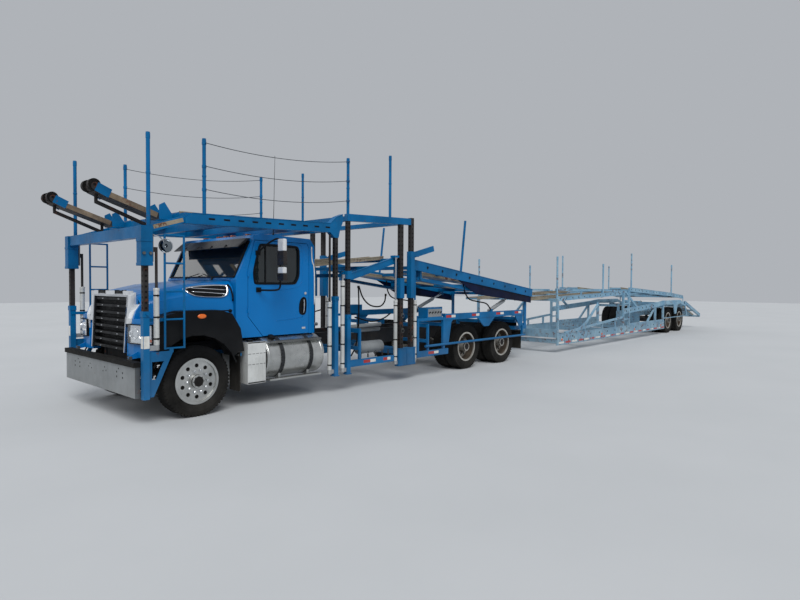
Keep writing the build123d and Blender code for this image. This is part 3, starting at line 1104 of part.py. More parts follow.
with BuildPart() as trailer_frame:
    block(HITCH - 250, HITCH + 500, -350, 350, NOSE_LOW, NOSE_LOW + 40)
    bar((HITCH, 0, 330), (HITCH, 0, NOSE_LOW + 5), HITCH_PIN_RADIUS)
    for side in SIDES.values():
        side_block(side, HITCH - 150, TRAILER_FRONT + 40, 270, 350, NOSE_LOW + 30, 600)
        side_block(side, TRAILER_FRONT, WHEEL_BAY, TRAILER_SILL_Y - 40, TRAILER_SILL_Y, TRAILER_SILL_LOW,
                   TRAILER_SILL_HIGH)
        side_beam(side, SILL_RAIL, 1225, 50, 60)
        for distance in (11600, 12800, 13800):
            upright(distance, side * 1225, TRAILER_SILL_HIGH - 10, sill_top(distance), 50)
        for distance in (LADDER_POST, LADDER_POST_REAR):
            upright(distance, side * 1235, TRAILER_SILL_LOW, 1600, 60, 70)
        for rung in (440, 690, 950, 1190, 1400):
            side_block(side, LADDER_POST, LADDER_POST_REAR, 1215, 1255, rung - 20, rung + 20)
        side_beam(side, ((LADDER_POST, 940), (17400, 1080)), TRUSS_Y, 60, 150)
        side_beam(side, ((17400, 1080), (WHEEL_BAY + 100, 1150)), TRUSS_Y, 60, 150)
        side_plate(WHEEL_PANEL, side * TRUSS_Y - 14, side * TRUSS_Y + 14)
        side_beam(side, ((14600, 1560), (15600, 1040)), TRUSS_Y, 40, 70)
        side_beam(side, ((16600, 520), (17350, 1000)), TRUSS_Y, 40, 70)
        side_block(side, LADDER_POST_REAR, WHEEL_BAY - 200, 1215, 1255, 420, 540)
        for distance in (17400, WHEEL_BAY - 60):
            upright(distance, side * 1235, TRAILER_SILL_LOW, 1080, 50, 100)
        upright(FRONT_DECK_HINGE[0], side * 1230, TRAILER_SILL_HIGH - 20, FRONT_DECK_HINGE[1] - 35, 60)
        front_x, front_z = FRONT_DECK_HINGE
        side_block(side, front_x - 30, front_x + 30, 1240, 1256, 1280, front_z + 30)
        deck_pin(FRONT_DECK_HINGE, side, 1172, 1245)
        rear_x, rear_z = REAR_DECK_HINGE
        side_block(side, rear_x - 40, rear_x + 40, 1238, 1249, 1050, rear_z + 40)
        deck_pin(REAR_DECK_HINGE, side, 1178, 1242)
        side_block(side, RAMP_HINGE[0] - 40, RAMP_HINGE[0] + 40, 1215, 1235, 880, RAMP_HINGE[1] + 30)
        deck_pin(RAMP_HINGE, side, 1160, 1220)
        side_beam(side, ((11700, 700), (12500, 1220)), 1230, 40, 60)
        side_beam(side, ((11700, 700), (11080, 500)), 1230, 40, 60)
        upright(12500, side * 1230, sill_top(12500) - 20, 1280, 50)
        bar((18350, side * 1262, 580), (21300, side * 1262, 580), 14)
        side_block(side, 21040, 21140, 1230, 1262, 565, 660)
        side_block(side, WHEEL_BAY - 60, 18380, 1240, 1270, 565, 600)
        side_block(side, WHEEL_BAY - 200, TRAILER_REAR, RAIL_INNER_Y, RAIL_OUTER_Y, 650, 800)
        for distance in (WHEEL_BAY - 100, TANDEM_MIDDLE, TRAILER_REAR - 40):
            side_block(side, distance - 30, distance + 30, RAIL_INNER_Y, 1235, 960, 1040)
            side_block(side, distance - 30, distance + 30, RAIL_INNER_Y, RAIL_OUTER_Y, 790, 1040)
    for distance in (TRAILER_FRONT + 40, 12000, LADDER_POST, LADDER_POST_REAR, 16600, WHEEL_BAY - 60):
        block(distance - 40, distance + 40, -TRAILER_SILL_Y + 20, TRAILER_SILL_Y - 20, 250, 350)
    block(TRAILER_FRONT - 40, TRAILER_FRONT + 60, -TRAILER_SILL_Y, TRAILER_SILL_Y, 400, 600)
    for distance in (WHEEL_BAY - 160, TRAILER_REAR - 40):
        block(distance - 40, distance + 40, -RAIL_OUTER_Y, RAIL_OUTER_Y, 660, 780)
    block(WHEEL_BAY - 200, WHEEL_BAY - 120, -RAIL_OUTER_Y, RAIL_OUTER_Y, 250, 780)
    block(TRAILER_REAR - 60, TRAILER_REAR + 20, -1225, 1225, 960, 1040)
finish(trailer_frame, "trailer_frame")

with BuildPart() as trailer_axles:
    for distance in (FIRST_TRAILER_AXLE, FIRST_TRAILER_AXLE + TRAILER_TANDEM_SPACING):
        carrying_axle(distance)
        for side in SIDES.values():
            side_block(side, distance - 50, distance + 50, RAIL_OUTER_Y - 75, RAIL_OUTER_Y - 5, WHEEL_HEIGHT, 650)
finish(trailer_axles, "trailer_axles")

# Trailer decks
FRONT_DECK_LINE = ((8920.0, 1385.0), (14300.0, 1560.0))
with BuildPart() as trailer_front_deck:
    for side in SIDES.values():
        track(side, (8920, 1385), (14250, 1545))
        side_beam(side, ((9930, 1400), (14300, 1520)), 1205, 60, 110)
        side_beam(side, ((9980, 1640), (14100, 1600)), 1160, 30, 60)
        for distance in (10050, 11500, 12900, 14050):
            upright(distance, side * 1165, 1400, 1625, 40)
        side_block(side, front_x - 25, front_x + 25, 1180, 1230, front_z - 25, 1380)
        deck_pin(FRONT_DECK_HINGE, side, 1170, 1240, PIN_CLEARANCE, Mode.SUBTRACT)
        pole(9960, side * 1215, 1440, 1060)
        pole(12870, side * 1215, 1500, 900)
    for distance in (10080, 11400, 12800, 14200):
        height = height_on(FRONT_DECK_LINE, distance)
        block(distance - 40, distance + 40, -1200, 1200, height - 80, height - 15)
finish(trailer_front_deck, "trailer_front_deck")

REAR_DECK_LINE = ((14960.0, 1640.0), (20550.0, 1360.0))
with BuildPart() as trailer_rear_deck:
    for side in SIDES.values():
        side_beam(side, ((14980, 1640), (19000, 1450)), 1205, 60, 120)
        side_beam(side, ((18960, 1452), (20640, 1330)), 1205, 60, 120)
        track(side, (14980, 1670), (20540, 1385))
        deck_pin(REAR_DECK_HINGE, side, 1170, 1240, PIN_CLEARANCE, Mode.SUBTRACT)
        pole(15150, side * 1205, 1660, 1150)
        pole(19250, side * 1205, 1460, 1100)
    for distance in (15040, 16400, 17800, 19200, 20500):
        height = height_on(REAR_DECK_LINE, distance)
        block(distance - 40, distance + 40, -1200, 1200, height - 60, height + 5)
finish(trailer_rear_deck, "trailer_rear_deck")

RAMP_LINE = ((21060.0, 1110.0), (23250.0, 500.0))
with BuildPart() as tail_ramp:
    for side in SIDES.values():
        track(side, *RAMP_LINE)
        side_beam(side, ((21060, 1100), (23200, 520)), 1180, 60, 110)
        side_block(side, RAMP_HINGE[0] - 25, 21120, 1162, 1202, RAMP_HINGE[1] - 25, RAMP_HINGE[1] + 25)
        deck_pin(RAMP_HINGE, side, 1150, 1215, PIN_CLEARANCE, Mode.SUBTRACT)
        bar((23265, side * 540, 490), (23265, side * 950, 490), 50)
    for distance in (21100, 22200, 23200):
        height = height_on(RAMP_LINE, distance)
        block(distance - 35, distance + 35, -1180, 1180, height - 75, height - 10)
finish(tail_ramp, "tail_ramp")
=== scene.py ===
"""The car transporter in its studio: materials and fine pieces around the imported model.

Metres. A place along the rig is written as its distance behind the front axle, as in the part's source.
"""
import json
import math

import bmesh
import bpy
from mathutils import Matrix, Vector


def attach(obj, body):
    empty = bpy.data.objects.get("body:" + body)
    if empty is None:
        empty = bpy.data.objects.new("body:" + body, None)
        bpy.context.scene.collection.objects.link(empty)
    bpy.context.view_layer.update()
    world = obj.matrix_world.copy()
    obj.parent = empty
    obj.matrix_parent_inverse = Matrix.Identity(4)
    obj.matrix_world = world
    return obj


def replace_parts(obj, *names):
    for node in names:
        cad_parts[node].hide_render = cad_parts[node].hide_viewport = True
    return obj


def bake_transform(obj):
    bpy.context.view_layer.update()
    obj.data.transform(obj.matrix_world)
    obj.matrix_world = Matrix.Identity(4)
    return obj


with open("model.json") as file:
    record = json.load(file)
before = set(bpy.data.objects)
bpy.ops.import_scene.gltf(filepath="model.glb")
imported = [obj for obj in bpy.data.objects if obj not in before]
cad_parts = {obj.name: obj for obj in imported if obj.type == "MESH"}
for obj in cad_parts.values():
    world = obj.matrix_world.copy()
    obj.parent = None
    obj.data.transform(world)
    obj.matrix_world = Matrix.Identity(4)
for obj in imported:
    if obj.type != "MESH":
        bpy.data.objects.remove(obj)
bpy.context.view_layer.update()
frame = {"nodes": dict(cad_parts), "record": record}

FRONT_AXLE_X = 11.05
SIDES = {"left": 1, "right": -1}
UP = (0, 0, 1)


def at(distance, y, z):
    """A point in the shared frame from its distance behind the front axle."""
    return Vector((FRONT_AXLE_X - distance, y, z))


def add_object(name, data):
    """Makes an object from its data and puts it into the scene."""
    made = bpy.data.objects.new(name, data)
    bpy.context.scene.collection.objects.link(made)
    return made


# Camera, fitted to the photograph
CAMERA_PLACE = Vector((14.77, 8.119, 1.732))
CAMERA_YAW = math.radians(-137.81)
CAMERA_PITCH = math.radians(-1.48)
CAMERA_ROLL = math.radians(0.32)
FOCAL_PIXELS = 569.9
PHOTO_WIDTH = 800
SENSOR = 36.0


def make_camera():
    """Places the camera where the photograph was taken from."""
    flat = math.cos(CAMERA_PITCH)
    forward = Vector((flat * math.cos(CAMERA_YAW), flat * math.sin(CAMERA_YAW), math.sin(CAMERA_PITCH)))
    level = Vector((math.sin(CAMERA_YAW), -math.cos(CAMERA_YAW), 0))
    upward = level.cross(forward)
    right = math.cos(CAMERA_ROLL) * level + math.sin(CAMERA_ROLL) * upward
    top = -math.sin(CAMERA_ROLL) * level + math.cos(CAMERA_ROLL) * upward
    data = bpy.data.cameras.new("camera")
    data.sensor_width = SENSOR
    data.sensor_fit = "HORIZONTAL"
    data.lens = FOCAL_PIXELS / PHOTO_WIDTH * SENSOR
    data.clip_end = 200
    camera = add_object("camera", data)
    turn = Matrix((right, top, -forward)).transposed()
    camera.matrix_world = Matrix.Translation(CAMERA_PLACE) @ turn.to_4x4()
    bpy.context.scene.camera = camera


make_camera()


# Helpers for procedural materials
def add(tree, kind, inputs=None, **settings):
    """Adds a shader node, sets its properties and fills or links its inputs."""
    made = tree.nodes.new("ShaderNode" + kind)
    for key, value in settings.items():
        setattr(made, key, value)
    for key, value in (inputs or {}).items():
        if isinstance(value, bpy.types.NodeSocket):
            tree.links.new(value, made.inputs[key])
        else:
            made.inputs[key].default_value = value
    return made


def ramp(tree, source, low, high, start=0.0, end=1.0):
    """Stretches a value so that low becomes start and high becomes end."""
    return add(tree, "MapRange", {0: source, 1: low, 2: high, 3: start, 4: end}, clamp=True).outputs[0]


def times(tree, first, second):
    """Multiplies two values."""
    return add(tree, "Math", {0: first, 1: second}, operation="MULTIPLY").outputs[0]


def blend_value(tree, share, first, second):
    """Mixes two values by a share."""
    return add(tree, "Mix", {0: share, 2: first, 3: second}).outputs[0]


def blend_colour(tree, share, first, second):
    """Mixes two colours by a share."""
    return add(tree, "Mix", {0: share, 6: first, 7: second}, data_type="RGBA").outputs[2]


def noise(tree, place, scale, detail=4.0, rough=0.55):
    """A noise value from 0 to 1."""
    inputs = {"Vector": place, "Scale": scale, "Detail": detail, "Roughness": rough}
    return add(tree, "TexNoise", inputs).outputs[0]


def rgb(red, green, blue):
    """A linear colour from display values of 0 to 255."""
    return tuple((value / 255) ** 2.2 for value in (red, green, blue)) + (1.0,)


def shade(colour, factor):
    """A linear colour made darker or lighter."""
    return tuple(factor * value for value in colour[:3]) + (1.0,)


RUST = rgb(92, 52, 34)
DUST = rgb(132, 128, 120)
MATERIALS = {}


def new_material(name, inputs):
    """A material with one shader: gives its node tree, the shader's inputs and its object coordinates."""
    material = bpy.data.materials.new(name)
    material.use_nodes = True
    tree = material.node_tree
    tree.nodes.clear()
    shader = add(tree, "BsdfPrincipled", inputs)
    add(tree, "OutputMaterial", {"Surface": shader.outputs[0]})
    MATERIALS[name] = material
    return tree, shader.inputs, add(tree, "TexCoord").outputs["Object"]


def finish_material(name, base, other, rough, metal=0.0, coat=0.0, patches=1.6, chips=0.0, chip_scale=14.0,
                    streaks=0.0, dust=0.0, dust_top=1.3, bump=0.0, bump_scale=120.0, spread=0.12,
                    specular=0.5):
    """A paint, metal, rubber or plastic with colour patches, streaks, chips, road dust and a fine bump."""
    base, other = rgb(*base), rgb(*other)
    tree, inputs, place = new_material(name, {"Metallic": metal, "Coat Weight": coat, "Coat Roughness": 0.08,
                                              "Specular IOR Level": specular})
    colour = blend_colour(tree, ramp(tree, noise(tree, place, patches, 6.0, 0.6), 0.35, 0.65), base, other)
    roughness = ramp(tree, noise(tree, place, patches * 3.1, 5.0), 0.3, 0.7,
                     max(rough - spread, 0.03), min(rough + spread, 1.0))
    if streaks:
        stretched = add(tree, "Mapping", {"Vector": place, "Scale": (9.0, 9.0, 0.55)}).outputs[0]
        run = times(tree, ramp(tree, noise(tree, stretched, 1.0, 6.0, 0.7), 0.5, 0.78), streaks)
        colour = blend_colour(tree, run, colour, shade(base, 0.35))
    if chips:
        edge = 0.66 - 0.16 * chips
        fine = ramp(tree, noise(tree, place, chip_scale, 8.0, 0.72), edge, edge + 0.04)
        chipped = times(tree, fine, ramp(tree, noise(tree, place, chip_scale * 0.11, 3.0), 0.42, 0.62))
        colour = blend_colour(tree, chipped, colour, RUST)
        roughness = blend_value(tree, chipped, roughness, 0.85)
        if metal:
            tree.links.new(ramp(tree, chipped, 0.0, 1.0, metal, 0.1), inputs["Metallic"])
    if dust:
        low = ramp(tree, add(tree, "SeparateXYZ", {0: place}).outputs[2], dust_top, 0.1)
        dirty = times(tree, times(tree, low, ramp(tree, noise(tree, place, 3.3, 7.0, 0.65), 0.2, 0.75)), dust)
        colour = blend_colour(tree, dirty, colour, DUST)
        roughness = blend_value(tree, dirty, roughness, 0.9)
    tree.links.new(colour, inputs["Base Color"])
    tree.links.new(roughness, inputs["Roughness"])
    if bump:
        grain = noise(tree, place, bump_scale, 3.0)
        raised = add(tree, "Bump", {"Height": grain, "Strength": bump, "Distance": 0.004})
        tree.links.new(raised.outputs[0], inputs["Normal"])


# Each finish: its two colours, its roughness and what else it has
FINISHES = {
    "blue_paint": ((6, 102, 156), (4, 82, 126), 0.42,
                   dict(coat=0.08, streaks=0.12, chips=0.25, dust=0.2, dust_top=1.1, specular=0.15)),
    "body_paint": ((4, 112, 182), (4, 106, 174), 0.3,
                   dict(coat=0.2, patches=0.8, dust=0.08, dust_top=1.0, spread=0.05, specular=0.15)),
    "trailer_paint": ((134, 170, 190), (98, 144, 174), 0.55,
                      dict(streaks=0.5, chips=0.75, chip_scale=9.0, dust=0.45, dust_top=1.2, bump=0.12)),
    "chassis_paint": ((22, 28, 36), (14, 17, 22), 0.6,
                      dict(chips=0.5, dust=0.35, dust_top=1.2, bump=0.1, specular=0.15)),
    "worn_steel": ((122, 124, 124), (92, 94, 94), 0.45,
                   dict(metal=0.75, chips=0.45, chip_scale=18.0, streaks=0.3, dust=0.3, bump=0.15)),
    "rusty_steel": ((58, 56, 56), (42, 40, 40), 0.6,
                    dict(metal=0.2, chips=0.55, chip_scale=10.0, streaks=0.3, specular=0.2)),
    "cylinder_grey": ((168, 172, 174), (142, 146, 148), 0.35,
                      dict(metal=0.4, chips=0.3, dust=0.3, streaks=0.3)),
    "rod_steel": ((205, 207, 208), (185, 187, 190), 0.16, dict(metal=1.0, patches=5.0, spread=0.06)),
    "aluminium": ((205, 206, 204), (178, 180, 178), 0.3,
                  dict(metal=0.95, patches=4.0, dust=0.3, dust_top=0.9, bump=0.06, bump_scale=60.0)),
    "rim_white": ((196, 194, 188), (160, 156, 148), 0.4,
                  dict(metal=0.5, patches=6.0, chips=0.35, dust=0.5, dust_top=0.95)),
    "tyre": ((20, 21, 23), (14, 15, 16), 0.85,
             dict(patches=5.0, dust=0.15, dust_top=0.9, bump=0.25, bump_scale=220.0, specular=0.1)),
    "flap_rubber": ((16, 16, 17), (24, 24, 24), 0.75,
                    dict(patches=3.0, dust=0.25, dust_top=0.9, bump=0.15, specular=0.12)),
    "black_plastic": ((15, 17, 20), (22, 24, 27), 0.5,
                      dict(patches=3.0, dust=0.08, bump=0.1, bump_scale=300.0, specular=0.15)),
    "track_cleat": ((120, 110, 96), (86, 78, 68), 0.6,
                    dict(metal=0.3, chips=0.6, chip_scale=12.0, patches=6.0)),
    "arm_tan": ((134, 118, 98), (88, 76, 64), 0.65, dict(metal=0.2, chips=0.7, chip_scale=12.0, patches=5.0)),
    "bumper_grey": ((142, 146, 148), (122, 126, 128), 0.5,
                    dict(metal=0.35, chips=0.2, chip_scale=22.0, streaks=0.35, dust=0.35, dust_top=0.75)),
    "strap_dark": ((60, 62, 64), (44, 46, 48), 0.45, dict(metal=0.5, patches=6.0)),
    "box_white": ((222, 224, 222), (200, 202, 200), 0.35,
                  dict(metal=0.3, patches=3.0, dust=0.3, dust_top=0.8)),
    # Dark navy of painted shade: the rear deck's side panel, coloured as if in shadow
    "painted_shade_navy": ((5, 14, 38), (6, 24, 56), 0.45, dict(patches=1.4, chips=0.15, specular=0.12)),
    "surround_silver": ((216, 219, 222), (208, 211, 214), 0.24, dict(metal=0.35, patches=1.0, spread=0.05)),
    "rim_well": ((86, 76, 66), (60, 52, 44), 0.65, dict(metal=0.2, patches=8.0, chips=0.4, chip_scale=12.0)),
    # Near black: painted shade inside holes and slots, and the own colour of dark bands and rollers
    "black_and_hole_shade": ((14, 13, 13), (20, 18, 17), 0.8, dict(patches=6.0, specular=0.2)),
    "cylinder_white": ((206, 208, 206), (182, 184, 182), 0.35,
                       dict(metal=0.15, chips=0.2, dust=0.35, streaks=0.35)),
    "visor_black": ((16, 17, 20), (24, 26, 29), 0.35, dict(patches=2.0, specular=0.4)),
    "mirror_dark": ((58, 52, 50), (40, 38, 38), 0.3, dict(metal=0.3, patches=5.0)),
    "mirror_glass": ((120, 128, 134), (110, 118, 124), 0.05, dict(metal=1.0, patches=2.0, spread=0.01)),
    "chrome": ((226, 228, 230), (206, 208, 212), 0.09, dict(metal=1.0, patches=3.0, spread=0.04)),
    "cab_trim": ((40, 41, 44), (30, 31, 33), 0.7,
                 dict(patches=5.0, bump=0.3, bump_scale=260.0, specular=0.15)),
    "engine_iron": ((40, 39, 38), (28, 27, 26), 0.6, dict(metal=0.3, chips=0.4, bump=0.2, specular=0.2)),
    "track_steel": ((166, 156, 136), (128, 118, 100), 0.55,
                    dict(metal=0.4, chips=0.75, chip_scale=8.0, streaks=0.2, bump=0.2)),
    "red_tape": ((176, 30, 30), (150, 24, 26), 0.35, dict(patches=12.0, dust=0.3)),
    "white_tape": ((222, 222, 218), (196, 196, 190), 0.35, dict(patches=12.0, dust=0.3)),
    "orange_lamp": ((232, 112, 18), (214, 96, 14), 0.2, dict(coat=0.6, patches=9.0)),
    "red_lamp": ((176, 16, 14), (148, 12, 12), 0.2, dict(coat=0.6, patches=9.0)),
    "mirror_cap": ((226, 228, 230), (210, 212, 214), 0.2, dict(metal=0.25, patches=3.0)),
    "rope": ((70, 74, 80), (52, 56, 62), 0.7, dict(patches=9.0, bump=0.4, bump_scale=160.0)),
}
for name, (base, other, rough, settings) in FINISHES.items():
    finish_material(name, base, other, rough, **settings)


def glass_material(name, tint, alpha):
    """A tinted pane with a light film of dust."""
    tree, inputs, place = new_material(name, {"Coat Weight": 0.6, "Coat Roughness": 0.03, "Alpha": alpha})
    film = ramp(tree, noise(tree, place, 2.4, 5.0), 0.35, 0.8)
    tree.links.new(blend_colour(tree, film, tint, shade(tint, 2.2)), inputs["Base Color"])
    tree.links.new(ramp(tree, film, 0.0, 1.0, 0.03, 0.12), inputs["Roughness"])


glass_material("glass", rgb(26, 32, 34), 0.86)
glass_material("lamp_glass", rgb(196, 204, 212), 0.16)


# The studio: a pale floor, a soft key and an even world
def make_stage():
    """A plain pale floor under soft light from the photograph's cloudy sky."""
    floor_mesh = bpy.data.meshes.new("floor")
    floor_mesh.from_pydata([(-60, -50, 0), (60, -50, 0), (60, 50, 0), (-60, 50, 0)], [], [(0, 1, 2, 3)])
    floor = add_object("floor", floor_mesh)
    tree, inputs, place = new_material("floor", {"Roughness": 0.9, "Specular IOR Level": 0.2})
    colour = blend_colour(tree, noise(tree, place, 0.4, 4.0), rgb(176, 179, 181), rgb(188, 190, 192))
    tree.links.new(colour, inputs["Base Color"])
    floor_mesh.materials.append(MATERIALS["floor"])
    world = bpy.data.worlds.new("world")
    world.use_nodes = True
    background = world.node_tree.nodes["Background"]
    background.inputs["Color"].default_value = (0.86, 0.90, 0.96, 1)
    background.inputs["Strength"].default_value = 0.5
    bpy.context.scene.world = world
    for name, energy, angle, turn in (("key", 2.2, 0.6, (42, 6, 140)), ("fill", 0.7, 1.0, (55, 0, 35))):
        data = bpy.data.lights.new(name, "SUN")
        data.energy = energy
        data.angle = angle
        add_object(name, data).rotation_euler = [math.radians(value) for value in turn]


make_stage()
bpy.context.scene.view_settings.view_transform = "Standard"

# Each node's finish: its slot's, apart from the cab's smooth panels and the grille's surround
NODE_FINISHES = dict.fromkeys(("cab_shell", "door_left", "door_right", "hood"), "body_paint")
NODE_FINISHES["hood_trim"] = "surround_silver"
for part in frame["record"]["subparts"]:
    node_materials = frame["nodes"][part["node"]].data.materials
    node_materials.clear()
    node_materials.append(MATERIALS[NODE_FINISHES.get(part["node"], part["material_slot"])])


# Mesh helpers: every piece is built at its own place, so its object coordinates are the rig's
def angles(count, offset=0.0):
    """Even steps round a circle, in radians."""
    return [2 * math.pi * (number + offset) / count for number in range(count)]


def circle(centre, radius, count, offset=0.0):
    """Points round a centre, in the plane of a wheel."""
    return [centre + radius * Vector((math.cos(angle), 0, math.sin(angle)))
            for angle in angles(count, offset)]


def line_height(line, distance):
    """The height of a straight line of two (distance, height) points at a distance."""
    (first, low), (second, high) = line
    return low + (high - low) * (distance - first) / (second - first)


def smooth_path(points, steps=6):
    """Points on a smooth curve that passes through the given ones."""
    padded = [2 * points[0] - points[1]] + points + [2 * points[-1] - points[-2]]
    out = []
    for a, b, c, d in zip(padded, padded[1:], padded[2:], padded[3:]):
        for t in [step / steps for step in range(steps)]:
            square = (2 * a - 5 * b + 4 * c - d) * t * t
            cube = (3 * b - a - 3 * c + d) * t ** 3
            out.append(0.5 * (2 * b + (c - a) * t + square + cube))
    return out + [points[-1]]


class Shape:
    """A mesh that is filled with simple forms and made into a piece.

    A place in it is a Vector in the frame, or (distance, y, z) with y counted outwards on the shape's side.
    """

    def __init__(self, side=1):
        self.mesh = bmesh.new()
        self.side = side

    def sides(self):
        """Turns the shape to each side of the rig, so that one piece has forms on both."""
        for side in SIDES.values():
            self.side = side
            yield side
        self.side = 1

    def spot(self, place):
        """A place as a point in the frame."""
        return place if isinstance(place, Vector) else at(place[0], self.side * place[1], place[2])

    def row(self, places):
        """Adds a vertex at each place."""
        return [self.mesh.verts.new(self.spot(place)) for place in places]

    def face(self, places):
        """Adds one face of its own."""
        self.mesh.faces.new(self.row(places))

    def skin(self, rows, ends_meet=False, rows_meet=False):
        """Adds faces between neighbouring rows of places, closed where their ends or the rows meet."""
        rows = [self.row(places) for places in rows]
        for first, second in zip(rows, rows[1:] + (rows[:1] if rows_meet else [])):
            for index in range(len(first) if ends_meet else len(first) - 1):
                after = (index + 1) % len(first)
                self.mesh.faces.new((first[index], first[after], second[after], second[index]))
        return rows

    def box(self, front, rear, y_low, y_high, z_low, z_high, bevel=0.0):
        """Adds a box between two distances, two places outwards and two heights, with rounded edges."""
        y_low, y_high = sorted((self.side * y_low, self.side * y_high))
        low, high = at(rear, y_low, z_low), at(front, y_high, z_high)
        made = bmesh.ops.create_cube(self.mesh, size=1.0)["verts"]
        for vert in made:
            vert.co = vert.co * (high - low) + (high + low) / 2
        if bevel:
            edges = list({edge for vert in made for edge in vert.link_edges})
            bmesh.ops.bevel(self.mesh, geom=edges, offset=bevel, segments=2, affect="EDGES", profile=0.6)

    def bar(self, start, end, radius, sides=12, end_radius=None):
        """Adds a round bar or cone between two places."""
        start, end = self.spot(start), self.spot(end)
        turn = (end - start).to_track_quat("Z", "Y").to_matrix().to_4x4()
        bmesh.ops.create_cone(self.mesh, cap_ends=True, segments=sides, radius1=radius,
                              radius2=radius if end_radius is None else end_radius,
                              depth=(end - start).length, matrix=Matrix.Translation((start + end) / 2) @ turn)

    def plug(self, place, out, radius, sides=12, end_radius=None):
        """Adds a round bar that stands outwards from a place."""
        place = self.spot(place)
        self.bar(place, place + Vector((0, self.side * out, 0)), radius, sides, end_radius)

    def beam(self, start, end, width, depth, overlap=0.0):
        """Adds a rectangular bar between two places, its width level."""
        start, end = self.spot(start), self.spot(end)
        along = (end - start).normalized()
        across = Vector(UP).cross(along)
        across = across.normalized() if across.length > 0.01 else Vector((0, 1, 0))
        turn = Matrix((across, along.cross(across), along)).transposed().to_4x4()
        middle = (start + end) / 2
        size = Vector((width, depth, (end - start).length + overlap))
        made = bmesh.ops.create_cube(self.mesh, size=1.0, matrix=Matrix.Translation(middle) @ turn)
        for vert in made["verts"]:
            local = turn.inverted() @ (vert.co - middle)
            vert.co = middle + turn @ (local * size)

    def beams(self, places, width, depth, overlap=0.0):
        """Adds rectangular bars from each place to the next."""
        for start, end in zip(places, places[1:]):
            self.beam(start, end, width, depth, overlap)

    def ring(self, centre, profile, axis=None, steps=48):
        """Turns a closed profile of (radius, height) points about an axis, outwards if none is given."""
        turn = Vector(axis or (0, self.side, 0)).normalized().to_track_quat("Z", "Y").to_matrix()
        self.skin([[self.spot(centre)
                    + turn @ Vector((radius * math.cos(angle), radius * math.sin(angle), height))
                    for radius, height in profile] for angle in angles(steps)], True, True)

    def tube(self, places, radius, sides=8):
        """Adds a round tube along places that are already smooth."""
        points = [self.spot(place) for place in places]
        rows = []
        for before, point, after in zip(points[:1] + points, points, points[1:] + points[-1:]):
            run = (after - before).normalized()
            across = run.cross(Vector((0.13, 0.21, 0.97))).normalized()
            upward = run.cross(across)
            rows.append([point + radius * (math.cos(angle) * across + math.sin(angle) * upward)
                         for angle in angles(sides)])
        rows = self.skin(rows, ends_meet=True)
        self.mesh.faces.new(rows[0])
        self.mesh.faces.new(rows[-1][::-1])

    def curve(self, places, radius, sides=8, steps=6):
        """Adds a round tube along a smooth curve through a few places."""
        self.tube(smooth_path([self.spot(place) for place in places], steps), radius, sides)

    def eyelet(self, centre, radius, wire, steps):
        """Adds a ring of wire that hangs along the rig's side."""
        distance, y, z = centre
        self.tube([(distance + radius * math.sin(turn), y, z + radius * math.cos(turn))
                   for turn in angles(steps) + [2 * math.pi]], wire, 6)

    def rim_path(self, outline, y, steps):
        """A smooth closed path through an outline of (distance, height) points on a face."""
        return smooth_path([self.spot((distance, y, z)) for distance, z in outline + outline[:1]], steps)[:-1]

    def rim(self, path, width, proud):
        """Adds a flat band round a closed path, its middle line on the path and standing out a little."""
        out = Vector((0, self.side * proud, 0))
        rows = []
        for before, point, after in zip(path[-1:] + path, path, path[1:] + path[:1]):
            run = (after - before).normalized()
            across = Vector((run.z, 0, -run.x)) * width
            rows.append([point + offset for offset in
                         (across, across * 0.8 + out, -across * 0.8 + out, -across)])
        self.skin(rows, rows_meet=True)

    def link(self, name, finish):
        """Makes the object and gives it its finish."""
        data = bpy.data.meshes.new(name)
        self.mesh.to_mesh(data)
        self.mesh.free()
        data.materials.append(MATERIALS[finish])
        return add_object(name, data)

    def make(self, name, body, slot, finish=None, smooth=False):
        """Makes the piece and rides it on a body; its finish is its slot's own if none is given."""
        bmesh.ops.recalc_face_normals(self.mesh, faces=self.mesh.faces)
        made = self.link(name, finish or slot)
        for polygon in made.data.polygons:
            polygon.use_smooth = smooth
        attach(made, body)
        return made


# Wheels: tread, sidewall rings, hub caps and nuts
TYRE_RADIUS = 0.4645
TYRE_WIDTH = 0.255
TYRE_FACE = 1.2
TWIN_SPACING = 0.3
TREAD_DEPTH = 0.009
NUT_RADIUS = 0.0165
NUT_HEIGHT = 0.034
RIBS = ((-0.094, -0.056), (-0.048, -0.019), (-0.011, 0.011), (0.019, 0.048), (0.056, 0.094))
SIDEWALL = [(0.297, -0.104), (0.305, -0.1075), (0.334, -0.1225), (0.366, -0.1275), (0.385, -0.1275),
            (0.392, -0.1295), (0.399, -0.1275), (0.44, -0.117), (0.455, -0.106),
            (TYRE_RADIUS - 0.004, -0.098)]
BLOCK_FACES = ((0, 1, 3, 2), (4, 6, 7, 5), (0, 4, 5, 1), (2, 3, 7, 6), (0, 2, 6, 4), (1, 5, 7, 3))
AXLES = {"front_wheel": 0.0, "drive_1_wheels": 6.0, "drive_2_wheels": 7.36, "trailer_1_wheels": 19.0,
         "trailer_2_wheels": 20.35}


def tread_profile():
    """The tyre's outer skin from bead to bead, with grooves between its ribs."""
    points = list(SIDEWALL)
    for start, end in RIBS:
        points += [(TYRE_RADIUS - TREAD_DEPTH, start - 0.0005), (TYRE_RADIUS, start + 0.0015),
                   (TYRE_RADIUS, end - 0.0015), (TYRE_RADIUS - TREAD_DEPTH, end + 0.0005)]
    return points + [(radius, -height) for radius, height in reversed(SIDEWALL)]


